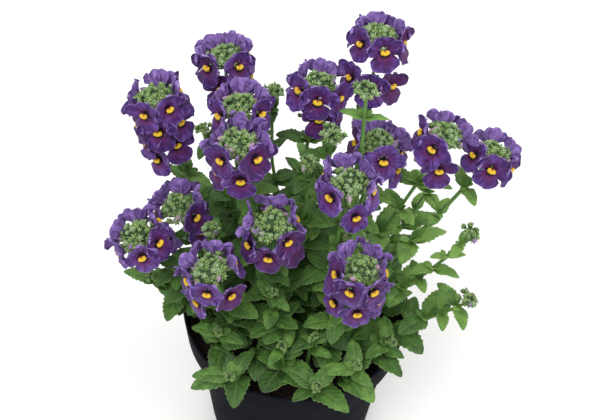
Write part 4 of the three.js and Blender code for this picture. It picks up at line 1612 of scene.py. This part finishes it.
@dataclass
class LeafyStem:
    """A square stem with its leaves, young leaves in their axils, hairs and a bud cluster."""

    # millimetres between two rings of the stem, and over how many millimetres its bends are rounded
    ring_gap: float = 2.5
    bend_round: int = 9
    # a cluster's size against the CAD's, its flatness and its looseness, over flowers and without them
    over_flowers: tuple[float, float, float] = (1.05, 0.4, 0.3)
    flowerless: tuple[float, float, float] = (1.1, 0.68, 0.8)
    ripe_share: float = 0.25
    # a cluster no larger than this has no bud that is about to open
    tip_cluster: float = 4.0
    # painted light and shade on the leaves: lighter over a span of heights, darker over a higher one, and
    # lighter away from the middle
    painted_light_heights: tuple[float, float] = (115.0, 160.0)
    painted_shade_heights: tuple[float, float] = (200.0, 230.0)
    painted_light_radii: tuple[float, float] = (35.0, 70.0)

    def line(self, stem: StemLine) -> Array:
        """The stem's middle line: its chords in steps of 1 mm, their bends rounded by a moving mean.

        Args:
            stem: The stem.

        Returns:
            Points, about as far apart as the rings.
        """
        corners = np.vstack([stem.foot, stem.bends, stem.tip])
        lengths = np.linalg.norm(np.diff(corners, axis=0), axis=1)
        stations = np.concatenate([[0], np.cumsum(lengths)])
        marks = np.arange(0, stations[-1], 1.0)
        fine = np.stack([np.interp(marks, stations, axis) for axis in corners.T], axis=-1)
        half = self.bend_round // 2
        padded = np.pad(fine, ((half, half), (0, 0)), "edge")
        kernel = np.ones(self.bend_round) / self.bend_round
        smooth = np.stack([np.convolve(axis, kernel, "valid") for axis in padded.T], axis=-1)
        smooth[:half], smooth[-half:] = fine[:half], fine[-half:]
        keep = np.linspace(0, len(smooth) - 1, max(int(stations[-1] / self.ring_gap), 8)).astype(int)
        return smooth[keep]

    def stem_patch(self, grown: Grown, line: Array) -> Patch:
        """The stem: its four-ridged section carried along its line, swollen a little at each pair.

        Args:
            grown: The shoot.
            line: The stem's middle line.

        Returns:
            The patch.
        """
        share = np.linspace(0, 1, len(line))
        radius = lerp(STEM_FOOT_RADIUS, STEM_TOP_RADIUS, share) * 0.86
        flush = 0.55 * np.clip(1 - share * 2.2, 0, 1) ** 1.5
        for leaf in grown.leaves[::2]:
            near = np.exp(-((np.linalg.norm(line - leaf.root, axis=1) / 2.2) ** 2))
            radius = radius * (1 + 0.28 * near)
            flush = flush + 0.25 * near
        lead = outward(grown.stem.turn, grown.stem.axis)
        return rods(line[None], radius, ring_section(12, 0.2, 4), lead, 0.5, 1.0, np.clip(flush, 0, 0.7))

    def hairs(self, line: Array, rng: Random) -> Patch:
        """Short hairs that stand out from the stem over its whole length.

        Args:
            line: The stem's middle line.
            rng: Source of their places, directions and lengths.

        Returns:
            The patch.
        """
        count = 2 * len(line)
        place = rng.uniform(0.15, 1, count) * (len(line) - 2)
        at = place.astype(int)
        base = lerp(line[at], line[at + 1], (place - at)[:, None])
        sideways = square_to(rng.normal(size=(count, 3)), unit(line[at + 1] - line[at]))
        return needles(base + sideways * 0.9, sideways, rng.uniform(0.7, 1.1, count), 0.9)

    def light(self, places: Sequence[LeafPlace]) -> tuple[Array, Array]:
        """How much painted light and shade leaves have by where they stand.

        Args:
            places: Where the leaves are.

        Returns:
            Their painted lightness by height, and how much more of it they have towards the right, where
            more light falls.
        """
        x, _, z = gather(places, "root")[0].T
        high = np.interp(z, self.painted_light_heights, (0, 1)) - 0.6 * np.interp(z, self.painted_shade_heights, (0, 1))
        return high, np.clip(x / 60, -0.3, 1) * high

    def build(self, grown: Grown, wardrobe: Wardrobe) -> bpy.types.Object:
        """Put the shoot together.

        Args:
            grown: The shoot.
            wardrobe: The materials.

        Returns:
            The shoot without its flowers.
        """
        rng = np.random.default_rng(SEED + 10 * grown.number)
        heap = Heap()
        line = self.line(grown.stem)
        heap.add(Skin.STEM, self.stem_patch(grown, line))
        if grown.leaves:
            high, painted_light_right = self.light(grown.leaves)
            x, y, _ = gather(grown.leaves, "root")[0].T
            painted_light_outward = np.interp(np.hypot(x, y), self.painted_light_radii, (0, 1))
            # painted light and shade: lighter by height, away from the middle and towards the right, over a
            # random tone
            tone = high * (0.2 + painted_light_outward * 0.1) + rng.uniform(-0.05, 0.6, len(x)) + 0.35 * painted_light_right
            heap.add(Skin.LEAF, Blades().patch(grown.leaves, rng, tone))
        if grown.young:
            high, painted_light_right = self.light(grown.young)
            youth_and_shade = gather(grown.young, "youth_and_shade")[0]
            # painted light and shade by height and towards the right, over each young leaf's own lightness
            tone = youth_and_shade * lerp(0.75, 1, high) + rng.uniform(-0.3, 0.1, len(youth_and_shade)) + 0.3 * painted_light_right
            heap.add(Skin.LEAF, SMALL_BLADES.patch(grown.young, rng, np.clip(tone, 0, 1)))
        heap.add(Skin.BUD, self.hairs(line, rng))
        budding = grown.shoot.cluster > self.tip_cluster
        bloom = 1.0 if budding else 0.45
        ripe = self.ripe_share if grown.flowers else 0.1 * budding
        size, flatness, loose = self.over_flowers if grown.flowers else self.flowerless
        cluster = BudCluster(grown.shoot.cluster * size, ripe, flatness, bloom, loose)
        heap.add(Skin.BUD, cluster.core(grown.stem), *cluster.patches(grown.stem, rng))
        name = grown.shoot.name
        return heap.make(f"{name}_leafy_stem", wardrobe.plant, f"{name}_shoot", "foliage")


@dataclass
class YoungLeaves:
    """The leaves that only the scene has, kept clear of other shoots.

    They are pairs between the CAD's, two young leaves in every axil, a ruff round each tip, broad low
    leaves at the front and pairs that fill the plant's middle.
    """

    between_length: float = 0.7
    air: float = 0.1
    # leaves in the axils: length against the leaf's, degrees from its bearing, and degrees above level
    axil_length: float = 0.42
    axil_spread: tuple[float, float] = (30.0, 62.0)
    axil_rise: tuple[float, float] = (44.0, 66.0)
    # the ruff: how many leaves, their lengths round a small tip and a larger one, and degrees above level
    ruff: int = 6
    small_tip: tuple[float, float] = (8.5, 12.5)
    larger_tip: tuple[float, float] = (7.0, 10.0)
    ruff_rise: tuple[float, float] = (28.0, 50.0)
    # pairs that fill the plant's middle: how far apart up the stem, up to which height, their lengths,
    # degrees above level, and the turns that are tried
    fill_step: float = 11.0
    fill_top: float = 186.0
    fill_length: tuple[float, float] = (12.0, 20.0)
    fill_rise: tuple[float, float] = (12.0, 60.0)
    fill_turns: tuple[float, ...] = (0.0, 24.0, -24.0, 48.0, -48.0)
    fill_air: float = -0.9
    # stems further forward than this have no fill and, if not left of that, bear broad low leaves
    front: float = -37.0
    leftmost: float = -22.0
    cover_height: float = 13.0
    cover_bearings: tuple[float, float] = (-40.0, 35.0)
    cover_length: tuple[float, float] = (20.0, 28.0)
    cover_rise: float = 38.0
    cover_air: float = -1.3

    def settle(self, plants: list[Grown], space: Space) -> None:
        """Find each leaf's place, rule by rule.

        Args:
            plants: Every shoot, with its CAD leaves.
            space: The places already taken.
        """
        rng = np.random.default_rng(SEED + 1)
        for grown in plants:
            self._between(grown, space)
        for grown in plants:
            self._axils(grown, space, rng)
            self._round_tip(grown, space, rng)
        for rule in (self._cover, self._fill):
            for grown in plants:
                rule(grown, space, rng)

    def _keep(
        self, grown: Grown, space: Space, leaf: LeafPlace, slenderness: float, youth_and_shade: float, air: float
    ) -> bool:
        """Take a young leaf's place if nothing of another shoot is in it.

        Args:
            grown: The shoot that it is on.
            space: The places already taken.
            leaf: Its place.
            slenderness: Half its width as a share of its length.
            youth_and_shade: How light it is, from its youth and, for fill leaves low in the plant, painted
                shade.
            air: Room to leave round it, less than none if it may overlap others.

        Returns:
            Whether it was kept.
        """
        leaf.half_width = leaf.length * slenderness
        leaf.youth_and_shade = youth_and_shade
        points = leaf.samples()
        if not space.free(points, grown.number, len(SAMPLE_STATIONS), air):
            return False
        space.take(points, YOUNG_REACH, grown.number)
        grown.young.append(leaf)
        return True

    def _between(self, grown: Grown, space: Space) -> None:
        """Pairs between the pairs of the CAD, a little smaller, turned an eighth of a turn.

        Args:
            grown: The shoot.
            space: The places already taken.
        """
        rows = grown.stations()
        for (low, length_a, bearing), (high, length_b, _) in zip(rows, rows[1:]):
            for half in (0, 180):
                length = self.between_length * (length_a + length_b) / 2
                space.settle(grown, (low + high) / 2, bearing + 45 + half, length)

    def _axils(self, grown: Grown, space: Space, rng: Random) -> None:
        """Two young leaves above each leaf, steeper than it.

        Args:
            grown: The shoot.
            space: The places already taken.
            rng: Source of their directions and lengths.
        """
        for leaf in grown.leaves:
            out = outward(leaf.bearing, UP)
            for side in (-1, 1):
                bearing = leaf.bearing + side * rng.uniform(*self.axil_spread)
                length = leaf.length * self.axil_length * rng.uniform(0.8, 1.15)
                young = LeafPlace.on(grown.stem, 0.3, bearing, rng.uniform(*self.axil_rise), length)
                young.root = leaf.root + out * 1.0 + UP * 1.2
                self._keep(grown, space, young, 0.26, 0.65, self.air)

    def _round_tip(self, grown: Grown, space: Space, rng: Random) -> None:
        """A ruff of small leaves under a budding tip.

        Args:
            grown: The shoot.
            space: The places already taken.
            rng: Source of their directions and lengths.
        """
        lengths = self.small_tip if grown.shoot.cluster < 4 else self.larger_tip
        for i in range(0 if grown.flowers else self.ruff):
            bearing = grown.shoot.leaves[3] + 90 * i + 45 * (i // 4) + rng.uniform(-8, 8)
            length = rng.uniform(*lengths)
            young = LeafPlace.on(grown.stem, 1.0, bearing, rng.uniform(*self.ruff_rise), length)
            self._keep(grown, space, young, 0.3, 0.85, self.air)

    def _cover(self, grown: Grown, space: Space, rng: Random) -> None:
        """Broad low leaves of the foremost stems, which lie over the compost and the rim.

        Args:
            grown: The shoot.
            space: The places already taken.
            rng: Source of their directions and lengths.
        """
        if grown.shoot.root[1] > self.front or grown.shoot.root[0] < self.leftmost:
            return
        station = self.cover_height / (grown.stem.tip[2] - COMPOST_TOP)
        for middle in self.cover_bearings:
            length = rng.uniform(*self.cover_length)
            bearing = middle + rng.uniform(-15, 15)
            cover = LeafPlace.on(grown.stem, station, bearing, self.cover_rise, length)
            self._keep(grown, space, cover, 0.34, rng.uniform(0.1, 0.5), self.cover_air)

    def _fill(self, grown: Grown, space: Space, rng: Random) -> None:
        """Pairs every few millimetres up the lower stem, each turned a right angle from the pair below.

        Args:
            grown: The shoot.
            space: The places already taken.
            rng: Source of their directions and lengths.
        """
        if grown.shoot.root[1] < self.front:
            return
        height = grown.stem.tip[2] - COMPOST_TOP
        bearing = grown.shoot.leaves[3] + 20.0
        top = self.fill_top - max(grown.stem.tip[0] - 10, 0)
        # fill leaves are darker lower on the stem, partly as older leaves and partly as painted shade inside
        # the plant
        for rise in np.arange(12.0, min(height * 0.8, top - COMPOST_TOP), self.fill_step):
            bearing += 90 + rng.uniform(-12, 12)
            station = rise / height
            for half in (0, 180):
                length = rng.uniform(*self.fill_length)
                lift = rng.uniform(*self.fill_rise)
                for turn in self.fill_turns:
                    young = LeafPlace.on(grown.stem, station, bearing + half + turn, lift, length)
                    if self._keep(grown, space, young, 0.31, lerp(0.25, 0.6, station), self.fill_air):
                        break


@dataclass
class Blooms:
    """The open flowers of a head, with their stalks, sepals and pouches, and the seed pods below them."""

    # upper lobes: bearing in the flower's plane, length, half width, and how far forward the end stands
    lobes: tuple[tuple[float, float, float, float], ...] = (
        (14, 9.9, 3.4, 1.9), (166, 9.9, 3.4, 1.9), (64, 7.8, 3.5, 0.2), (116, 7.8, 3.5, 0.2))
    lip_spread: float = 69.0
    # the lower lip's reach by how far across it is: notched in the middle, blunt at its sides
    lip_reach: tuple[tuple[float, float], ...] = (
        (0.0, 9.0), (0.13, 9.2), (0.43, 9.2), (0.71, 8.5), (0.86, 7.1), (0.93, 5.4), (1.0, 4.0))
    petal_thickness: float = 0.26
    # the pouch ring by ring: depth behind the throat, radius, darkness, which is painted shade inside it,
    # and how much of the front's colour
    pouch: tuple[tuple[float, float, float, float], ...] = (
        (-3.9, 0.5, 0, 0.3), (-3.2, 1.05, 0, 0.3), (-2.3, 1.55, 0, 0.3), (-1.4, 1.8, 0, 0.3),
        (-0.5, 2.6, 0.3, 0.6), (-0.1, 3.2, 0.75, 1), (-0.5, 2.2, 0.9, 1), (-1.6, 1.2, 1, 1))
    # the five sepals round it, as the rows of a lathe
    calyx: tuple[tuple[float, float, float, float], ...] = (
        (-4.2, 0, 0.475, 0.025), (-3.7, 0, 0.99, 0.11), (-2.9, 0, 1.225, 0.525), (-2.0, 0, 1.45, 1.05))
    # how much closer to the stem the throats stand than the CAD's
    crowding: float = 1.4
    # how far the upper lobes' ends lean over their throats, in radians, and how much further at the back
    lean: tuple[float, float] = (0.25, 0.6)
    lean_behind: float = 0.3
    rows: int = 8
    stalk_radius: float = 0.36
    # buds next to open: how many, and the spans of their reach from the stem, their depth under the tip,
    # the depth of their stalks' roots, and their lift
    waiting: int = 11
    waiting_spans: tuple[tuple[float, float], ...] = ((6.4, 8.8), (0.2, 1.8), (4.5, 7.0), (0.5, 1.3))
    # seed pods: how many, degrees from one to the next, and the rings of one, place along it and radius
    pods: int = 5
    pod_turn: float = 137.5
    pod_rings: tuple[tuple[float, float], ...] = (
        (-0.4, 0.4), (0.2, 1.05), (1.0, 1.2), (1.8, 0.8), (2.3, 0.15))

    def _steps(self) -> Array:
        """Shares along a petal, closer together towards its end: the sine of even steps of a right angle."""
        return np.sin(np.linspace(0, math.pi / 2, self.rows))[:, None]

    def upper_lobe(self, lobe: tuple[float, float, float, float], erect: Array, rng: Random) -> Array:
        """One upper lobe of every flower: widens from the throat, blunt at its end, ruffled, a bit cupped.

        Half width: 0.35 to 1 of the widest up to 0.58 of the way along, like a sine, then a blunt curve.

        Args:
            lobe: Its bearing, length, half width and forward reach.
            erect: How far each flower's lobes lean forward over its throat, in radians at their ends.
            rng: Source of the small differences between flowers.

        Returns:
            Points in each flower's own directions.
        """
        bearing, length, half, forward = lobe
        each = (len(erect), 1, 1)
        v = self._steps()
        a = np.linspace(-1, 1, 7)
        angle = np.radians(bearing + rng.uniform(-9, 9, each))
        reach = length * rng.uniform(0.86, 1.04, each)
        rounded = np.clip(1 - (np.maximum(v - 0.58, 0) / 0.42) ** 2.2, 0.003, 1) ** (1 / 2.2)
        widening = 0.35 + 0.65 * np.sin(math.pi / 2 * np.minimum(v / 0.58, 1))
        side = -half * np.where(v < 0.58, widening, rounded) * a
        along = 1.0 + v * (reach - 1.0) - 0.7 * v**3 * a**2 - 0.35 * v**6 * np.exp(-((a / 0.35) ** 2))
        phase = rng.uniform(0, TURN, each)
        ruffle = (
            0.5 * v**2 * np.sin(2.3 * math.pi * a + phase)
            + 0.2 * v**3 * np.sin(6.1 * math.pi * a + 2 * phase)
            + 0.35 * v * np.sin(8.5 * v + 4.0 * a + 3 * phase)
        )
        cup = rng.uniform(-0.3, 0.8, each) * v * a**2
        curl = rng.uniform(-1.8, 1.0, each) * v**3
        lean = np.minimum(erect.reshape(each) * v, 0.9)
        rise = -1.5 * (1 - v) ** 3 + forward * v + 0.6 * np.sin(math.pi * v) * (1 - a**2)
        rise = rise + ruffle + cup + curl
        x = np.cos(angle) * along - np.sin(angle) * side
        y = np.sin(angle) * along + np.cos(angle) * side + 0.2
        z = rise * np.cos(lean) + np.maximum(y, 0) * np.sin(lean)
        y = y * np.cos(lean) - rise * np.sin(lean) * v
        return np.stack(np.broadcast_arrays(x, y, z), axis=-1)

    def lower_lip(self, count: int, rng: Random) -> Array:
        """The lower lip of every flower: a fan below the throat whose reach and waves vary across it.

        Args:
            count: How many flowers.
            rng: Source of the small differences between them.

        Returns:
            Points in each flower's own directions.
        """
        each = (count, 1, 1)
        v = self._steps()
        a = np.linspace(1, -1, 13)
        angle = math.radians(-90) + np.radians(self.lip_spread) * a
        reach = np.interp(np.abs(a), *np.array(self.lip_reach).T) * rng.uniform(0.94, 1.04, each)
        phase = rng.uniform(0, TURN, each)
        reach = reach * (1 + 0.035 * np.sin(3.3 * math.pi * a + phase))
        along = 0.9 + v * (reach - 0.9)
        bulge = 0.75 * np.exp(-(((v - 0.3) / 0.2) ** 2))
        ruffle = (
            0.5 * v**2 * np.sin(3.1 * math.pi * a + phase * 1.7)
            + 0.28 * v**3 * np.sin(5.3 * math.pi * a + phase)
        )
        roll = -rng.uniform(0.4, 2.0, each) * v**2 * a**2 - rng.uniform(-0.4, 1.2, each) * v**3
        z = -1.2 * (1 - v) ** 4 + bulge + ruffle + roll
        x = np.cos(angle) * along
        y = np.sin(angle) * along - 0.1
        return np.stack(np.broadcast_arrays(x, y, z), axis=-1)

    def palate(self) -> tuple[Array, Array]:
        """The palate: a cushion with a cleft between its two humps, and each point's height.

        A square grid is drawn in to a rounded oblong, blunt towards its edges, and lowered along the
        cleft, which opens at the top.

        Returns:
            Points in a flower's own directions, and each point's height.
        """
        a, b = np.meshgrid(np.linspace(-1, 1, 9), np.linspace(-1, 1, 7))
        x, y = a * np.sqrt(1 - 0.35 * b**2), b * np.sqrt(1 - 0.35 * a**2)
        cleft = np.exp(-((x / 0.36) ** 2)) * np.clip(0.5 + 0.8 * y, 0, 0.95)
        rise = np.sqrt(np.clip(1 - a**4 / 2 - b**4 / 2 - a**2 * b**2 / 2, 0, 1)) * (1 - cleft)
        return np.stack([1.95 * x, 1.1 * y - 0.36, 0.4 + 1.6 * rise], axis=-1), rise

    def flowers(self, places: Sequence[FlowerPlace], heap: Heap, rng: Random) -> None:
        """Put in the lips, palates, pouches, sepals and stalks.

        Args:
            places: Where the flowers are.
            heap: The head's patches so far.
            rng: Source of the small differences between flowers.
        """
        count = len(places)
        tone = rng.uniform(0, 1, count)
        turn = np.radians(rng.uniform(-9, 9, count))[:, None]
        root, out, axis, throat = gather(places, "root", "out", "axis", "throat")
        right, up, forward = gather(places, "right", "up", "forward")
        turned = np.cos(turn) * right + np.sin(turn) * up, np.cos(turn) * up - np.sin(turn) * right, forward
        throat = throat - out * self.crowding
        seat = throat, np.stack(turned, axis=1), rng.uniform(1.0, 1.13, count)
        v = self._steps()
        erect = rng.uniform(*self.lean, count) + self.lean_behind * np.clip(out[:, 1], -0.5, 1)
        # each petal with how strong and how far the throat's maroon reaches up it, and how deep the painted
        # shade at its foot reaches
        petals = [(self.upper_lobe(lobe, erect, rng), 0.45, 0.5, 0.22) for lobe in self.lobes]
        petals.append((self.lower_lip(count, rng), 0.6, 0.62, 0.35))
        for local, strong, far, deep in petals:
            flush = np.maximum(strong * np.exp(-((v / far) ** 2)), 1.05 * np.exp(-((v / deep) ** 4)))
            heap.add(Skin.PETAL, sheets(into_place(local, *seat), self.petal_thickness, tone, flush))
        local, rise = self.palate()
        heap.add(Skin.PALATE, sheets(into_place(local, *seat), 0.3, tone, rise))
        depth, girth, dark, front = np.array(self.pouch).T
        local = lathe(np.stack([depth, 0 * depth, girth, 0 * depth], axis=-1), 10, shift=-0.25)
        heap.add(Skin.PETAL, tubes(into_place(local, *seat), tone, front[:, None], dark))
        heap.add(Skin.BUD, tubes(into_place(lathe(self.calyx, 10, shift=-0.1), *seat), tone))
        root = root + out * 0.6 - axis * STALK_DROP
        end = throat - forward * 3.9
        path = bezier([root, (root + end) / 2 - axis * 0.6 + out * 1.6, end], np.linspace(0, 1, 6))
        heap.add(Skin.STEM, rods(path, np.linspace(0.55, 0.42, 6), ring_section(6), axis))

    def _short_stalks(self, root: Array, knee: Array, end: Array, stem: StemLine) -> Patch:
        """Thin stalks, each a curve of three corners."""
        path = bezier([root, knee, end], np.linspace(0, 1, 4))
        return rods(path, self.stalk_radius, ring_section(5), stem.axis)

    def next_to_open(self, stem: StemLine, heap: Heap, rng: Random) -> None:
        """Put in the ring of bigger buds on stalks between the dome and the open flowers.

        Args:
            stem: The head's stem.
            heap: The head's patches so far.
            rng: Source of the small differences between buds.
        """
        count = self.waiting
        bearing = (np.arange(count) + rng.uniform(-0.3, 0.3, count)) * 360 / count
        out = np.array([outward(b, stem.axis) for b in bearing])
        reach, depth, low, lift = (rng.uniform(*span, (count, 1)) for span in self.waiting_spans)
        place = stem.tip + out * reach - stem.axis * depth
        root = stem.tip - stem.axis * low
        ripe = rng.uniform(0, 1, count) < 0.28
        size = rng.uniform(1.35, 1.8, count)
        heap.add(Skin.STEM, self._short_stalks(root, root + out * 5.5, place, stem))
        heap.add(Skin.BUD, *Buds().patches(place, unit(out + stem.axis * lift), size, ripe, rng))

    def seed_pods(self, stem: StemLine, heap: Heap, rng: Random) -> None:
        """Put in small green pods on short stalks, left where lower flowers have dropped.

        Args:
            stem: The head's stem.
            heap: The head's patches so far.
            rng: Source of the small differences between pods.
        """
        count = self.pods
        depth = stem.head_length() + rng.uniform(-3, 8, (count, 1))
        bearing = np.arange(count) * self.pod_turn + rng.uniform(0, 360)
        out = np.array([outward(b, stem.axis) for b in bearing])
        root = stem.tip - stem.axis * depth
        reach, lift = (rng.uniform(*span, (count, 1)) for span in ((5.0, 7.5), (1, 4)))
        end = root + out * reach + stem.axis * lift
        heap.add(Skin.STEM, self._short_stalks(root, (root + end) / 2 - stem.axis * 0.8, end, stem))
        steps, girth = np.array(self.pod_rings).T
        path = end[:, None] + unit(out + stem.axis * 0.6)[:, None] * steps[:, None]
        tone = rng.uniform(0, 1, count)
        heap.add(Skin.BUD, rods(path, girth, ring_section(10, 0.2, 5), stem.axis, tone))

    def build(self, grown: Grown, wardrobe: Wardrobe) -> bpy.types.Object:
        """Put the head together.

        Args:
            grown: The shoot whose flowers it has.
            wardrobe: The materials.

        Returns:
            The head.
        """
        rng = np.random.default_rng(SEED + 10 * grown.number + 5)
        heap = Heap()
        self.flowers(grown.flowers, heap, rng)
        self.next_to_open(grown.stem, heap, rng)
        self.seed_pods(grown.stem, heap, rng)
        name = grown.shoot.name
        return heap.make(f"{name}_blooms", wardrobe.plant, f"{name}_flowers", "petals")


@dataclass
class Studio:
    """Camera, floor and soft light."""

    lens: float = 52.0
    sensor: float = 36.0
    place: tuple[float, float, float] = (0.0, -0.282124, 0.532164)
    right: tuple[float, float, float] = (0.99836048, 0.04472986, 0.03571556)
    down: tuple[float, float, float] = (0.05722437, -0.76561592, -0.64074771)
    forward: tuple[float, float, float] = (-0.00131616, 0.64174099, -0.76692031)
    floor_size: float = 14.0
    # each soft box: name, place, size and power
    lamps: tuple[tuple[str, tuple[float, float, float], float, float], ...] = (
        ("key_softbox", (-0.5, -0.6, 1.6), 1.0, 17.0),
        ("fill_softbox", (1.2, -0.3, 1.1), 1.2, 12.0),
        ("back_softbox", (0.2, 1.3, 1.3), 1.2, 6.0),
    )
    sky: float = 0.62

    def face(self, thing: bpy.types.Object, place: Sequence[float], *axes: Sequence[float]) -> None:
        """Put an object at a place, with its own three axes along the given directions."""
        thing.matrix_world = Matrix.Translation(place) @ Matrix(axes).transposed().to_4x4()

    def camera(self) -> None:
        """The camera as the photograph was taken: from the front, about fifty degrees above."""
        data = bpy.data.cameras.new("camera")
        data.lens = self.lens
        data.sensor_width = self.sensor
        data.clip_start = 0.01
        camera = stand("camera", data)
        self.face(camera, self.place, self.right, [-c for c in self.down], [-c for c in self.forward])
        bpy.context.scene.camera = camera

    def floor(self, finish: bpy.types.Material) -> None:
        """A plain sheet under the pot.

        Args:
            finish: The floor's material.
        """
        corners = np.array([(-1, -1, 0), (1, -1, 0), (1, 1, 0), (-1, 1, 0)]) * self.floor_size / 2
        mesh = new_mesh("floor", corners, [np.arange(4)[None]])
        mesh.materials.append(finish)
        floor = stand("floor", mesh)

    def light(self, name: str, place: Sequence[float], size: float, power: float) -> None:
        """A square soft box that faces the middle of the plant.

        Args:
            name: The lamp's name.
            place: Where it stands, in metres.
            size: Length of its sides, in metres.
            power: In watts.
        """
        data = bpy.data.lights.new(name, "AREA")
        data.size = size
        data.energy = power
        ahead = unit(np.array([0, 0, 0.16]) - np.array(place))
        side = unit(np.cross(ahead, UP + [0, 0.01, 0]))
        self.face(stand(name, data), place, side, np.cross(side, ahead), -ahead)

    def build(self, finish: bpy.types.Material) -> None:
        """Set up the camera, the floor, the lamps and the sky.

        Args:
            finish: The floor's material.
        """
        self.camera()
        self.floor(finish)
        for lamp in self.lamps:
            self.light(*lamp)
        world = bpy.data.worlds.new("studio")
        world.use_nodes = True
        sky = world.node_tree.nodes["Background"]
        sky.inputs["Color"].default_value = linear("#ffffff")
        sky.inputs["Strength"].default_value = self.sky
        bpy.context.scene.world = world
        bpy.context.scene.view_settings.view_transform = "Standard"


def main() -> None:
    """Build the studio, the pot, the compost and every shoot in order."""
    logging.basicConfig(level=logging.INFO, format="%(message)s")
    wardrobe = Wardrobe()
    Studio().build(wardrobe.floor)
    Pot().build(wardrobe.plastic)
    Compost().build(wardrobe.peat)
    plants, space = grow()
    LOG.info("%d leaves placed as in the CAD", sum(len(p.leaves) for p in plants))
    YoungLeaves().settle(plants, space)
    for grown in plants:
        LeafyStem().build(grown, wardrobe)
        if grown.flowers:
            Blooms().build(grown, wardrobe)


if __name__ == "__main__":
    main()
